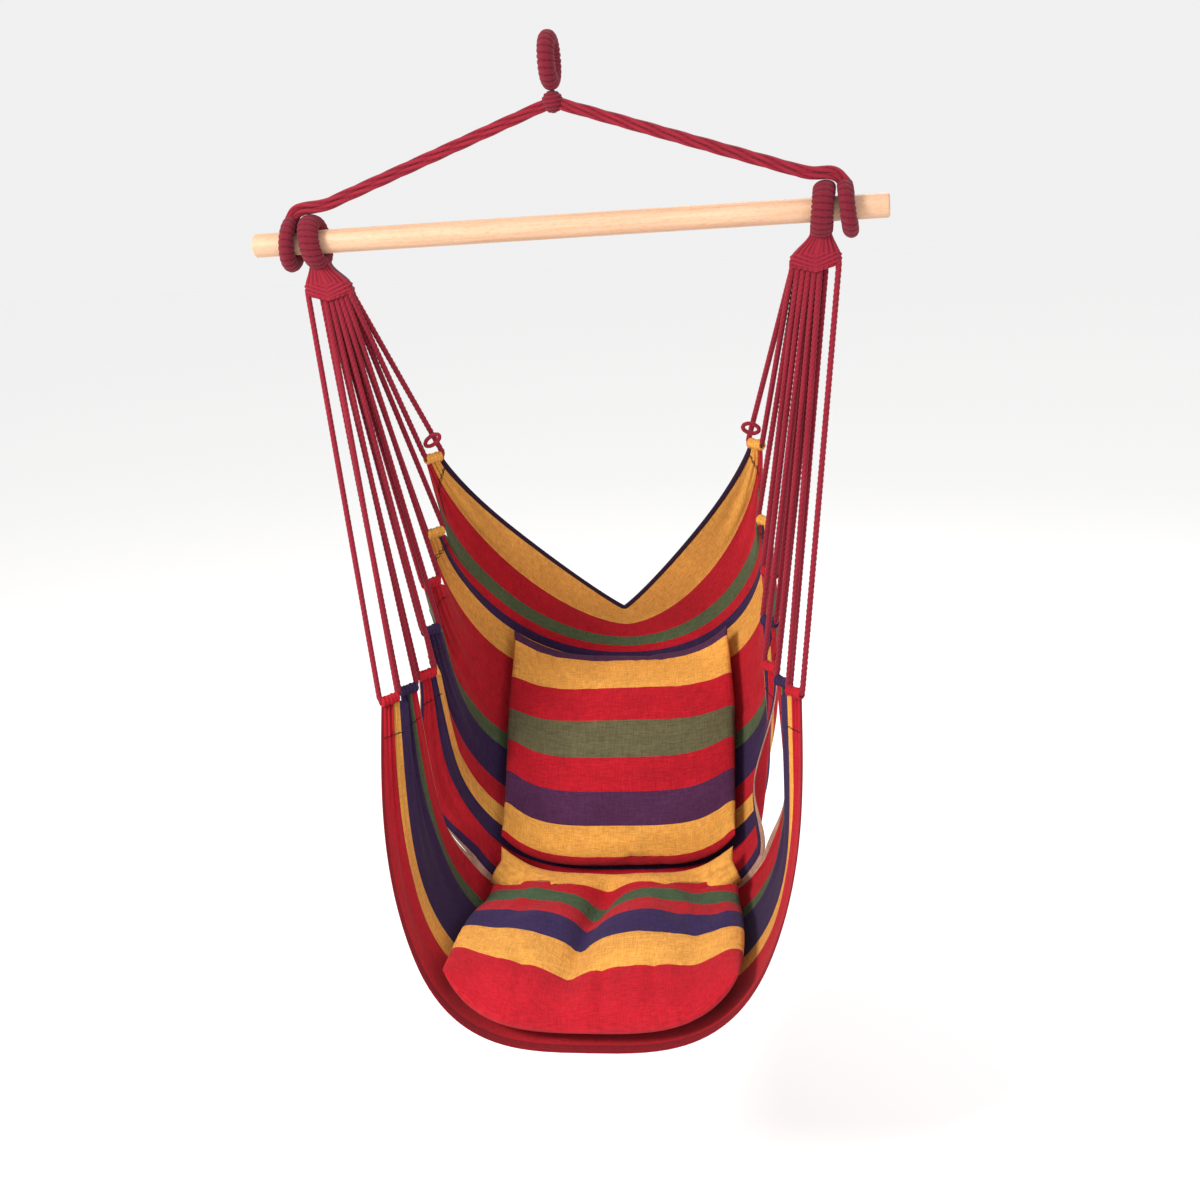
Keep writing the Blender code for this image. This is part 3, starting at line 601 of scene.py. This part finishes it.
def edge_lines(share, part):
    """The free side edge, and the edge as the tabs gather it, for rows of one part."""
    points = hang_points()
    shares = tab_shares()
    chosen = range(BACK_TABS) if part == "back" else range(BACK_TABS, len(TABS))
    span = SLIT / BACK_TABS if part == "back" else (1 - SLIT) / (len(TABS) - BACK_TABS)
    along = np.array([-math.cos(TAB_TURN), math.sin(TAB_TURN), 0.0])
    knots, spots = [], []
    for index in chosen:
        if index != chosen[0]:
            aside = SCALLOP_IN if part == "back" else 0.0
            dip = (points[index] + points[index - 1]) / 2 + (-SCALLOP_IN, aside, 0.0)
            dip[2] = min(points[index, 2], points[index - 1, 2]) - SCALLOP
            knots.append(shares[index] - span / 2)
            spots.append(dip)
        first = -0.5 if index == chosen[0] else -0.32
        last = 0.5 if index == chosen[-1] else 0.32
        for step, slide in zip(np.linspace(first, last, 5), np.linspace(1.0, -1.0, 5)):
            knots.append(shares[index] + step * span)
            spots.append(points[index] + along * (TAB_WIDTH / 2 - 0.001) * slide)
    spots = np.array(spots)
    gathered = np.stack([np.interp(share, knots, spots[:, k]) for k in range(3)], axis=1)
    middles = slice(chosen.start, chosen.stop)
    free = np.stack([np.interp(share, shares[middles], points[middles, k]) for k in range(3)],
                    axis=1)
    return free, gathered


def cloth_rows(share, reach, edge):
    """Superellipse rows: x = X sin^p a, and y, z = edge + (centre - edge) cos^p a."""
    squareness = np.interp(share, [0.0, 0.10, 0.30, 0.70, 1.0], [1.10, 1.9, 3.1, 3.4, 3.2])
    power = (2.0 / squareness)[:, None]
    angle = np.clip(reach, 0.0, 1.0)[None, :] * math.pi / 2
    out = np.sin(angle) ** power
    down = np.clip(np.cos(angle), 0.0, 1.0) ** power
    centre = centre_line(share)
    x = edge[..., 0] * out
    y = edge[..., 1] + (centre[:, :1] - edge[..., 1]) * down
    z = edge[..., 2] + (centre[:, 1:] - edge[..., 2]) * down
    return np.stack([x, y, z], axis=-1)


def grid_normals(points):
    """Unit normals of a grid, towards the sitter: rows run down, columns outwards."""
    down = np.gradient(points, axis=0)
    side = np.gradient(points, axis=1)
    return unit(np.cross(down, side) + 1e-12)


# %% [markdown]
# The cloth is wider than the tabs that hold it, so it stands in six pleats at each tab,
# which fade into soft ripples below. The slits gape by different amounts: each entry
# says how far one edge of a slit is drawn outwards and backwards, in metres.

# %% Pleats, ripples and slits
BACK_ROWS = 165
FRONT_ROWS = 105
SLIT_OPEN = {
    "left": {"back": (0.036, -0.012), "front": (0.0, -0.002)},
    "right": {"back": (-0.040, 0.016), "front": (0.006, -0.010)},
}


def sling_part(side, part, count, reach):
    """Half of one part: gathered rows, with pleats at the tabs and soft ripples below."""
    ends = (0.0, SLIT) if part == "back" else (SLIT, 1.0)
    share = np.linspace(*ends, count)
    free, gathered = edge_lines(share, part)
    gather = smooth_step((reach - 0.55) / 0.45)[None, :, None]
    edge = free[:, None] + (gathered - free)[:, None] * gather
    points = cloth_rows(share, reach, edge)
    normal = grid_normals(points)
    shares = tab_shares()
    chosen = shares[:BACK_TABS] if part == "back" else shares[BACK_TABS:]
    span = chosen[1] - chosen[0]
    place = (share[:, None] - chosen[None, :]) / span
    nearest = place[np.arange(count), np.abs(place).argmin(axis=1)]
    fade = smooth_step((reach - 0.70) / 0.30)[None, :]
    pleat = np.cos(2 * math.pi * 6 * nearest)[:, None] * np.cos(math.pi * nearest)[:, None] ** 2
    ripple = np.sin(2 * math.pi * (2.6 * nearest[:, None] + 0.7 * reach[None, :]))
    swell = smooth_step((reach - 0.45) / 0.3)[None, :] * (1 - fade)
    lift = 0.0030 * pleat * fade + 0.0026 * ripple * swell * np.cos(math.pi * nearest)[:, None]
    bow = np.sin(math.pi * np.clip((reach - SLIT_END) / (1 - SLIT_END), 0, 1) ** 1.3)
    pull = bow[None, :] * np.exp(-((share[:, None] - SLIT) / 0.050) ** 2)
    points = points + normal * lift[..., None]
    outward_shift, rearward_shift = SLIT_OPEN[side][part]
    points[..., 0] += outward_shift * pull
    points[..., 1] += rearward_shift * pull
    return share, points


def sling_half(side):
    """Both parts of a half sheet, meeting at one row where they aren't slit apart."""
    reach = np.concatenate([np.linspace(0.0, 0.5, 20)[:-1], np.linspace(0.5, 1.0, 62)])
    back_share, back = sling_part(side, "back", BACK_ROWS, reach)
    front_share, front = sling_part(side, "front", FRONT_ROWS, reach)
    free = smooth_step((reach - SLIT_END) / (1 - SLIT_END) * 1.6)[:, None]
    shared = (back[-1] + front[0]) / 2
    back[-1] = shared + (back[-1] - shared) * free
    front[0] = shared + (front[0] - shared) * free
    return reach, back_share, back, front_share, front


def whole_rows(left, right):
    """Rows from the left edge to the right, the left half being turned over."""
    return np.concatenate([left[:, :0:-1] * (-1.0, 1.0, 1.0), right], axis=1)


def sling_sheet():
    """The open sheet's points, quads and lay; joined across the middle of the slit row."""
    reach, back_share, left_back, front_share, left_front = sling_half("left")
    _, _, back, _, front = sling_half("right")
    wide = 2 * len(reach) - 1
    points = np.concatenate([whole_rows(left_back, back), whole_rows(left_front, front)])
    rows = len(points)
    meet = len(back)
    faces = grid_faces(rows, wide, wrap_columns=False)
    faces = faces[(faces[:, 0] // wide) != meet - 1]
    mirror_reach = np.abs(np.concatenate([-reach[:0:-1], reach]))
    joined = np.flatnonzero(mirror_reach <= SLIT_END)
    target = np.arange(rows * wide)
    target[meet * wide + joined] = (meet - 1) * wide + joined
    faces = target[faces]
    steps = np.linalg.norm(np.diff(points, axis=1), axis=2)
    across = np.concatenate([np.zeros((rows, 1)), np.cumsum(steps, axis=1)], axis=1)
    across -= across[:, wide // 2][:, None]
    share = np.concatenate([back_share, front_share])[:, None]
    lay = np.stack(np.broadcast_arrays(across, share * CLOTH_LENGTH, share), axis=-1)
    used = np.unique(faces)
    renumber = np.zeros(rows * wide, int)
    renumber[used] = np.arange(len(used))
    return points, renumber[faces], points.reshape(-1, 3)[used], lay.reshape(-1, 3)[used]


def thicken(points, faces, thickness):
    """Close an open sheet: both faces half the thickness away, and a rim between."""
    corner = points[faces]
    face_normal = np.cross(corner[:, 2] - corner[:, 0], corner[:, 3] - corner[:, 1])
    normal = np.zeros_like(points)
    for k in range(4):
        np.add.at(normal, faces[:, k], face_normal)
    normal = unit(normal + 1e-15)
    sides = np.concatenate([faces[:, [k, (k + 1) % 4]] for k in range(4)])
    ordered = np.sort(sides, axis=1)
    key = ordered[:, 0] * len(points) + ordered[:, 1]
    _, first, count = np.unique(key, return_index=True, return_counts=True)
    rim = sides[first[count == 1]]
    total = len(points)
    walls = np.stack([rim[:, 1], rim[:, 0], rim[:, 0] + total, rim[:, 1] + total], axis=1)
    both = np.concatenate([points + normal * thickness / 2, points - normal * thickness / 2])
    return both, np.concatenate([faces, faces[:, ::-1] + total, walls])


sling_points, whole_faces, sheet_points, sheet_lay = sling_sheet()
solid, solid_faces = thicken(sheet_points, whole_faces, CLOTH_THICKNESS)
sling = make_piece("striped_sling", solid, solid_faces, np.concatenate([sheet_lay] * 2),
                   SLING_CANVAS, "chair")
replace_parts(sling, "sling")
print("sling points:", len(solid), "widest row:", round(2 * float(sheet_lay[:, 0].max()), 3), "m")


# %% [markdown]
# A tab is the cloth's edge turned over the cord and sewn down. The channel is a ruffled
# sleeve of its own, because the sheet is one layer. The stitching and the tape on the
# back's rim are thin tubes laid on the sheet's own points.


# %% Tab channels, edge tape and stitching
def tab_frame(index, sign):
    """Middle and direction of a tab's channel, from its outer front end inwards."""
    half, fore, rise = TABS[index]
    middle = np.array([sign * half, fore, TAB_Z + rise])
    return middle, np.array([-sign * math.cos(TAB_TURN), math.sin(TAB_TURN), 0.0])


def channel(side, sign, index):
    """A gathered sleeve: radius = sleeve + wall + ruffle, closed through its bore."""
    middle, along = tab_frame(index, sign)
    angle = np.arange(24) * 2 * math.pi / 24
    place = np.linspace(-0.5, 0.5, 41)[:, None]
    ruffle = 0.0020 * np.abs(np.cos(math.pi * 5 * place)) * (1 + 0.35 * np.cos(2 * angle + 9 * place))
    outer = SLEEVE + 0.0012 + ruffle
    inner = np.full_like(outer, 0.0050)
    radius = np.concatenate([outer, inner[::-1]])
    where = np.concatenate([place, place[::-1]]) * TAB_WIDTH
    up = np.array([0.0, 0.0, 1.0])
    side_way = np.cross(along, up)
    ring = side_way * np.cos(angle)[:, None] + up * np.sin(angle)[:, None]
    points = middle + along * where[..., None] + ring * radius[..., None]
    share = tab_shares()[index]
    stripe = share + place * 0.10 * (SLIT / BACK_TABS)
    stripe = np.concatenate([stripe, stripe[::-1]])
    lay = np.stack(np.broadcast_arrays(angle * SLEEVE, where, stripe), axis=-1)
    faces = grid_faces(len(radius), 24, wrap_rows=True)
    return make_piece(f"{side}_tab_channel_{index + 1}", points.reshape(-1, 3), faces,
                      lay.reshape(-1, 3), SLING_CANVAS, "chair")


channels = [channel(side, sign, index) for side, sign in SIDES for index in range(len(TABS))]


def sewn_rows():
    """Two lines of thread on each face of the cloth, about 38 and 44 mm in from a tab."""
    normal = grid_normals(sling_points)
    rows, wide = sling_points.shape[:2]
    share = np.concatenate([np.linspace(0.0, SLIT, BACK_ROWS),
                            np.linspace(SLIT, 1.0, FRONT_ROWS)])
    shares = tab_shares()
    points, faces, lay, caps = [], [], [], []
    total = 0
    for index, middle in enumerate(shares):
        part = (np.arange(rows) < BACK_ROWS) == (index < BACK_TABS)
        span = SLIT / BACK_TABS if index < BACK_TABS else (1 - SLIT) / (len(shares) - BACK_TABS)
        near = np.flatnonzero(part & (np.abs(share - middle) < 0.40 * span))
        inward = run_lengths(sling_points[near[len(near) // 2]])[1:]
        for distance in (0.038, 0.044):
            column = int(np.searchsorted(inward, distance)) + 1
            for place in (column, wide - 1 - column):
                for face in (0.0013, -0.0013):
                    path = sling_points[near, place] + normal[near, place] * face
                    ring, _ = tube(path, (1.0, 0.2, 0.1), np.full((len(path), 6), 0.0007))
                    points.append(ring.reshape(-1, 3))
                    faces.append(grid_faces(len(path), 6) + total)
                    lay.append(np.tile((0.0, 0.0, 0.5), (len(path) * 6, 1)))
                    caps.append(tuple(range(total, total + 6)))
                    total += len(path) * 6
                    caps.append(tuple(range(total - 6, total)))
    return make_piece("tab_stitching", np.concatenate(points), np.concatenate(faces),
                      np.concatenate(lay), THREAD, "chair", caps)


stitching = sewn_rows()


def edge_tape():
    """A folded tape on the rim of the back: a flat oval, 9 mm by 4 mm."""
    rim = sling_points[0]
    below = sling_points[3]
    keep = slice(3, -3)
    path, _ = resample(rim[keep], 0.004)
    share = np.linspace(0, 1, len(path))
    away = (rim - below)[keep]
    old = np.linspace(0, 1, len(away))
    away = np.stack([np.interp(share, old, away[:, k]) for k in range(3)], axis=1)
    tangent = unit(np.gradient(path, axis=0))
    away = unit(away - tangent * np.sum(away * tangent, axis=1, keepdims=True))
    thick = np.cross(tangent, away)
    angle = np.arange(14) * 2 * math.pi / 14
    points = (path[:, None] + away[:, None] * (0.0045 * np.cos(angle)[:, None] - 0.001)
              + thick[:, None] * 0.0021 * np.sin(angle)[:, None])
    lay = np.stack(np.broadcast_arrays(share[:, None], angle * 0.004, 0.5), axis=-1)
    rows = len(path)
    caps = end_caps(rows, 14)
    return make_piece("rim_tape", points.reshape(-1, 3), grid_faces(rows, 14),
                      lay.reshape(-1, 3), TAPE, "chair", caps)


tape = edge_tape()
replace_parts(tape, "back_edge_binding")
print("tab channels:", len(channels), "stitching points:", len(stitching.data.vertices))

# %% [markdown]
# ## The chair's cords and clews
#
# Each tab hangs on one doubled cord: down from the clew, through the channel and up
# again. It is pulled taut, so it needs no sag. Each lower corner is placed by the angle
# that it turns through. The ruffled channel is wider than the straight run inside it, so
# near its ends the cord passes through its ruffles.

# %% Cord paths
CORD_PITCH = 0.0085
CORD_BEND = 0.007
CORD_LEAD = 0.010
STRAIGHT_RUN = 0.020


def strand_slots():
    """Outer and inner slot of each tab's doubled cord, from the back corner forward."""
    front = [CLEW_X + 0.040 - 0.0055]
    front += [front[0] - 0.028 - CORD_PITCH * step for step in range(6)]
    back = [front[1] + CORD_PITCH - CORD_PITCH * step for step in range(7)]
    row = CORD_PITCH / 2 + 0.0003
    front = [(x, -row) for x in front]
    back = [(x, row) for x in back]
    slots = [(front[6], back[6]), (back[4], back[5])]
    slots += [(back[5 - step], front[7 - step]) for step in range(2, 6)]
    slots += [(front[0], front[1])]
    return slots


def cord_path(index, sign):
    """The whole path of one tab's cord, with its bends rounded."""
    middle, along = tab_frame(index, sign)
    chain = []
    for (x, y), away in zip(strand_slots()[index], (-along, along)):
        top = np.array([sign * x, y, CLEW_BOTTOM_Z - 0.0003])
        lead = top - (0.0, 0.0, CORD_LEAD)
        rough = middle + away * (STRAIGHT_RUN / 2 + CORD_BEND)
        half = math.acos(float(np.dot(unit(lead - rough), -away))) / 2
        corner = middle + away * (STRAIGHT_RUN / 2 + 0.0005 + CORD_BEND / math.tan(half))
        chain.append([top, lead, corner])
    return rounded(chain[0] + chain[1][::-1], 0.010, steps=9)


CORD_DIAMETER = 0.0098
cord_lengths = {}
for side, sign in SIDES:
    for index in range(len(TABS)):
        path = cord_path(index, sign)
        spread = np.cross(path[-1] - path[len(path) // 2], path[0] - path[len(path) // 2])
        piece, line = laid_cord(f"{side}_chair_cord_{index + 1}", path, unit(spread),
                                CORD_DIAMETER / 2, CORD, "chair", pitch=0.026)
        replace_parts(piece, f"{side}_cord_{index + 1}")
        length = float(run_lengths(line)[-1])
        cord_lengths[piece.name] = round(length, 3)
print("cord lengths, m:", cord_lengths)


# %% [markdown]
# A clew is the woven shoulder that the cords come out of. Weaving each cord over and
# under would take hundreds of crossings, so one closed oval carries the pattern: ribs
# for the cords, and slanting wefts across them in its lower half.


# %% Clews
def clew(side, sign):
    """The shoulder: an oval section that widens downwards, with strands and wefts on it."""
    rows, columns = 70, 96
    share = np.linspace(0.0, 1.0, rows)[:, None]
    angle = np.arange(columns)[None, :] * 2 * math.pi / columns
    depth = CLEW_TOP_Z + 0.012 - 0.060 * share
    spread = smooth_step(share * 1.5)
    half_width = (0.017 + 0.0225 * spread) * (1 - 0.05 * smooth_step((share - 0.6) / 0.4))
    half_depth = 0.0125 - 0.0008 * spread
    middle = (CHAIR_LOOP_X - 0.0045) + (CLEW_X - CHAIR_LOOP_X + 0.0045) * spread
    wide = np.sign(np.cos(angle)) * np.abs(np.cos(angle)) ** 0.7
    deep = np.sign(np.sin(angle)) * np.abs(np.sin(angle)) ** 0.7
    strand = np.abs(np.cos(math.pi * 4.5 * wide))
    weft = np.abs(np.sin(math.pi * (9.0 * share + 2.2 * np.abs(wide))))
    woven = smooth_step((share - 0.45) / 0.15) * smooth_step((1.02 - share) / 0.2)
    ridge = strand * (1 - woven) + np.maximum(0.55 * strand, weft) * woven
    out = 1.0 + 0.06 * (ridge - 0.6)
    lower = 0.010 * smooth_step((share - 0.8) / 0.2) * np.abs(wide)
    points = np.stack(np.broadcast_arrays(
        sign * (middle + half_width * out * wide), half_depth * (out + 0.12 * ridge) * deep,
        depth + lower), axis=-1)
    lay = np.stack(np.broadcast_arrays(depth, angle * 0.03, ridge), axis=-1)
    caps = end_caps(rows, columns)
    return make_piece(f"{side}_woven_clew", points.reshape(-1, 3), grid_faces(rows, columns),
                      lay.reshape(-1, 3), CORD, "chair", caps)


for side, sign in SIDES:
    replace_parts(clew(side, sign), f"{side}_clew")
print("clews done")


# %% [markdown]
# A small closed loop of cord stands on the strand at each back corner.


# %% Corner ties
def corner_tie(side, sign):
    """A loop of thin cord on the back corner's strand, standing inboard."""
    line = cord_path(0, sign)
    lower = line[np.argmin(line[:, 2])]
    strand = unit(line[-2] - lower)
    foot = lower + strand * 0.030
    turn = np.linspace(0.0, 2 * math.pi, 40)[:-1]
    out = 0.013 * (1 - np.cos(turn)) + 0.003
    up = 0.008 * np.sin(turn) + 0.006 * (1 - np.cos(turn)) * (1.0 if sign < 0 else 0.4)
    path = foot + np.stack([-sign * out, np.full_like(out, -0.004), up], axis=1)
    ridge = np.abs(np.cos(1.5 * (np.arange(10) * 0.2 * math.pi - turn[:, None] * 3)))
    points, angle = tube(path, (0.0, 1.0, 0.15), 0.0036 * (0.85 + 0.15 * ridge), closed=True)
    lay = np.stack(np.broadcast_arrays(turn[:, None] * 0.02, angle * 0.0026, ridge), axis=-1)
    return make_piece(f"{side}_tie_loop", points.reshape(-1, 3),
                      grid_faces(len(path), 10, wrap_rows=True), lay.reshape(-1, 3),
                      CORD, "chair")


for side, sign in SIDES:
    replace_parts(corner_tie(side, sign), f"{side}_corner_tie")
print("ties done")

# %% [markdown]
# ## The cushions
#
# A cushion is a cover sewn from two striped faces and filled with loose fibre. Its
# faces meet in a seam all round, its crown is fullest in the middle, and its sides are
# drawn in between the corners. A formula gives the hollows and lobes of loose filling.
# Cloth under a light pressure then swells the cover for 8 frames. That pushes some
# points about 20 mm, so each point is kept within its cap: up to 14 mm on the upper
# face and 1.5 mm below.


# %% Cushion shape
def cloth_place(share, distance):
    """Points on the cloth at shares of its length and distances out from its middle."""
    reach = np.linspace(0.0, 1.0, 200)
    free = edge_lines(np.minimum(share, SLIT), "back")[0]
    front = edge_lines(np.maximum(share, SLIT), "front")[0]
    edge = np.where((share <= SLIT)[:, None], free, front)
    rows = cloth_rows(share, reach, np.repeat(edge[:, None], len(reach), axis=1))
    steps = np.linalg.norm(np.diff(rows, axis=1), axis=2)
    length = np.concatenate([np.zeros((len(share), 1)), np.cumsum(steps, axis=1)], axis=1)
    out = np.empty((*distance.shape, 3))
    for row in range(len(share)):
        for k in range(3):
            out[row, :, k] = np.interp(np.abs(distance[row]), length[row], rows[row, :, k])
    out[..., 0] = np.copysign(out[..., 0], distance)
    return out


def cushion(name, size, start, body, made, bumps, rear_taper, rear_lift, columns=90, rows=80):
    """Two faces joined at a seam, their crown being ((1 - |a|^3)(1 - |b|^3)) ^ 0.52.

    a and b run from -1 to 1 across and along. The lower face follows the sling's cloth, and
    bumps gives the hollows and lobes as a share of the crown. rest is the lower face's gap
    from the middle of the sling's cloth.
    """
    across, along, thick = size
    rest = 0.0024
    shares = np.linspace(0.0, 1.0, 500)
    line = centre_line(shares)
    length = run_lengths(line)
    close = math.pi / 2 * 0.92
    b = np.sin(np.linspace(-close, close, rows)) / math.sin(close)
    a = np.sin(np.linspace(-close, close, columns)) / math.sin(close)
    share = np.interp(start + along * (b + 1) / 2, length, shares)
    a = np.broadcast_to(a[None, :], (rows, columns))
    b = np.broadcast_to(b[:, None], (rows, columns))
    narrow = 1 - rear_taper * smooth_step((0.4 - b) / 1.4)
    distance = a * across / 2 * narrow * (1 - 0.03 * (1 - b * b))
    base = cloth_place(share, distance)
    normal = grid_normals(base)
    normal[..., 0] *= 0.9
    normal = unit(normal)
    crown = np.clip((1 - np.abs(a) ** 3) * (1 - np.abs(b) ** 3), 0, 1) ** 0.52
    top = crown * (1.0 + bumps(a, b))
    pucker = 0.0018 * np.sin(2 * math.pi * 9 * a) * np.exp(-((1 - np.abs(b)) / 0.12) ** 2)
    pucker = pucker + 0.0018 * np.sin(2 * math.pi * 8 * b) * np.exp(-((1 - np.abs(a)) / 0.10) ** 2)
    middle = rest + 0.40 * thick + rear_lift * (1 - a * a) * np.exp(-((b + 1) / 0.3) ** 2)
    upper = base + normal * (middle + 0.60 * thick * top + pucker * crown)[..., None]
    under = base + normal * (rest + (middle - rest) * (1 - 0.97 * crown))[..., None]
    grid = np.arange(rows * columns).reshape(rows, columns)
    below = grid + rows * columns
    rim = np.zeros((rows, columns), bool)
    rim[0] = rim[-1] = rim[:, 0] = rim[:, -1] = True
    below = np.where(rim, grid, below)
    quads = grid_faces(rows, columns, wrap_columns=False)
    faces = np.concatenate([quads, below.ravel()[quads][:, ::-1]])
    points = np.concatenate([upper.reshape(-1, 3), under.reshape(-1, 3)])
    stripe = (b + 1) / 2
    lay = np.stack([distance, stripe * along, np.clip(stripe, 0.0, 0.999)], axis=-1)
    lay = np.concatenate([lay.reshape(-1, 3)] * 2)
    used = np.unique(faces)
    renumber = np.zeros(len(points), int)
    renumber[used] = np.arange(len(used))
    piece = make_piece(name, points[used], renumber[faces], lay[used], made, body)
    full = crown.ravel()[used % (rows * columns)]
    inflate(piece, np.where(used < rows * columns, 0.002 + 0.012 * full ** 2, 0.0015))
    return piece


def inflate(piece, cap):
    """Fill the cover by cloth simulation, moving each point no further than its cap."""
    scene = bpy.context.scene
    mesh = piece.data
    before = np.empty(len(mesh.vertices) * 3, np.float32)
    mesh.vertices.foreach_get("co", before)
    before = before.reshape(-1, 3)
    cloth = piece.modifiers.new("fill", "CLOTH")
    cloth.settings.use_pressure = True
    cloth.settings.uniform_pressure_force = 4.0
    cloth.settings.effector_weights.gravity = 0.0
    cloth.settings.shrink_min = -0.03
    cloth.settings.bending_stiffness = 0.4
    for number in range(1, 9):
        scene.frame_set(number)
    shaped = piece.evaluated_get(bpy.context.evaluated_depsgraph_get()).data
    after = np.empty_like(before).ravel()
    shaped.vertices.foreach_get("co", after)
    move = after.reshape(-1, 3) - before
    far = np.linalg.norm(move, axis=1, keepdims=True)
    move *= np.minimum(1.0, cap[:, None] / np.maximum(far, 1e-9))
    piece.modifiers.remove(cloth)
    scene.frame_set(1)
    mesh.vertices.foreach_set("co", (before + move).astype(np.float32).ravel())
    mesh.update()
    kept = float(np.linalg.norm(move, axis=1).max())
    print(piece.name, "pushed", round(float(far.max()), 3), "m, kept to", round(kept, 3), "m")


def seat_bumps(a, b):
    """Two hollows from back to front with full lobes beside them, and folds in front."""
    valley = -0.02 - 0.16 * (b + 1) / 2
    hollow = -0.72 * np.exp(-((a - valley) / 0.12) ** 2) * (0.75 - 0.25 * b)
    second = -0.22 * np.exp(-((a - 0.66) / 0.12) ** 2) * (0.6 + 0.4 * b)
    full = 0.34 * np.exp(-((a - 0.30) / 0.26) ** 2) + 0.30 * np.exp(-((a + 0.52) / 0.26) ** 2)
    folds = sum(-0.10 * np.exp(-((a - place) / 0.035) ** 2) for place in (-0.42, 0.05, 0.36))
    return hollow + second + full + folds * np.exp(-((b - 0.8) / 0.22) ** 2)


def back_bumps(a, b):
    """Slack at the lower corners, a faint fold beside the left edge and a faint wave."""
    corner = -0.28 * np.exp(-((np.abs(a) - 0.86) / 0.10) ** 2 - ((b - 0.80) / 0.16) ** 2)
    fold = -0.07 * np.exp(-((a + 0.62) / 0.05) ** 2)
    wave = 0.05 * np.sin(5.0 * a + 2.0 * b)
    return corner + fold + wave


shares = np.linspace(0.0, 1.0, 400)
line = centre_line(shares)
length = run_lengths(line)
fold_at = float(length[np.argmin(np.linalg.norm(line - FOLD, axis=1))])
SEAT_SIZE, SEAT_START = (0.600, 0.432, 0.088), fold_at - 0.020
BACK_SIZE, BACK_START = (0.505, 0.402, 0.072), fold_at - 0.453
seat = cushion("seat_cushion", SEAT_SIZE, SEAT_START, "seat_cushion", SEAT_CANVAS,
               seat_bumps, rear_taper=0.14, rear_lift=0.030)
back = cushion("back_cushion", BACK_SIZE, BACK_START, "back_cushion", BACK_CANVAS,
               back_bumps, rear_taper=0.0, rear_lift=0.0)
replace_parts(seat, "seat_cushion_cover", "seat_cushion_filling")
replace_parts(back, "back_cushion_cover", "back_cushion_filling")

# %% [markdown]
#
# The sling is one sheet hung from its tabs. Its flat length is measured along its
# middle line. Its flat width isn't measured: the widest row is 1.52 m, the rows at the
# upper tabs are shorter, and 1.36 m was chosen between them with the sheet rule's area
# limit in view. With 1.52 m the sheet would be just outside that limit.

# %% [markdown]
# ## Floor, light and camera
#
# A chair that hangs has nothing under it, so the floor lies well below and is almost
# white, like the world, which hides where it ends. The world lights everything softly,
# one warm key light gives the shape, and two weak ones keep the shade open. The camera
# stands a little above the bar, turned and rolled to suit the chair's view.


# %% Stage
def floor():
    """A wide pale floor well below the chair."""
    mesh = bpy.data.meshes.new("floor")
    side, drop = 14.0, -1.95
    mesh.from_pydata([(-side, -side, drop), (side, -side, drop), (side, side, drop),
                      (-side, side, drop)], [], [(0, 1, 2, 3)])
    made, _, _ = new_material("pale floor", Base_Color=linear("#FEFEFE"), Roughness=0.9)
    mesh.materials.append(made)
    obj = bpy.data.objects.new("floor", mesh)
    bpy.context.scene.collection.objects.link(obj)


def area_light(name, place, aim, size, power, code="#FFFFFF"):
    """A round soft light at a place, turned towards a point."""
    data = bpy.data.lights.new(name, "AREA")
    data.shape = "DISK"
    data.size = size
    data.energy = power
    data.color = linear(code)[:3]
    obj = bpy.data.objects.new(name, data)
    obj.location = place
    way = unit(np.array(place) - np.array(aim))
    obj.rotation_euler = (math.acos(way[2]), 0.0, math.atan2(way[0], -way[1]))
    bpy.context.scene.collection.objects.link(obj)


floor()
area_light("key", (-2.2, -2.6, 1.4), (0.0, 0.0, -0.9), 1.2, 150.0, "#FFF8F0")
area_light("fill", (2.6, -2.2, 0.3), (0.0, 0.0, -0.9), 2.4, 18.0)
area_light("rear", (0.6, 2.6, 1.2), (0.0, 0.0, -0.7), 1.8, 30.0)
world = bpy.data.worlds.new("studio")
bpy.context.scene.world = world
world.use_nodes = True
world.node_tree.nodes["Background"].inputs["Color"].default_value = linear("#F6F6F6")
world.node_tree.nodes["Background"].inputs["Strength"].default_value = 0.95
bpy.context.scene.view_settings.view_transform = "Standard"


# %% Camera
def camera():
    """Right, up and back axes from yaw, pitch and roll, as the camera's rotation."""
    yaw, pitch, roll = (math.radians(turn) for turn in (9.94, -17.64, -4.62))
    ahead = np.array([-math.sin(yaw) * math.cos(pitch), math.cos(yaw) * math.cos(pitch),
                      math.sin(pitch)])
    level = np.array([math.cos(yaw), math.sin(yaw), 0.0])
    above = np.cross(level, ahead)
    right = level * math.cos(roll) + above * math.sin(roll)
    up = above * math.cos(roll) - level * math.sin(roll)
    data = bpy.data.cameras.new("camera")
    data.lens = 50.57
    data.sensor_width = 36.0
    obj = bpy.data.objects.new("camera", data)
    bpy.context.scene.collection.objects.link(obj)
    obj.rotation_mode = "QUATERNION"
    turned = np.eye(4)
    turned[:3, 0], turned[:3, 1], turned[:3, 2] = right, up, -ahead
    turned[:3, 3] = (0.4707, -2.6222, -0.0253)
    obj.matrix_world = Matrix(turned.tolist())
    bpy.context.scene.camera = obj


camera()
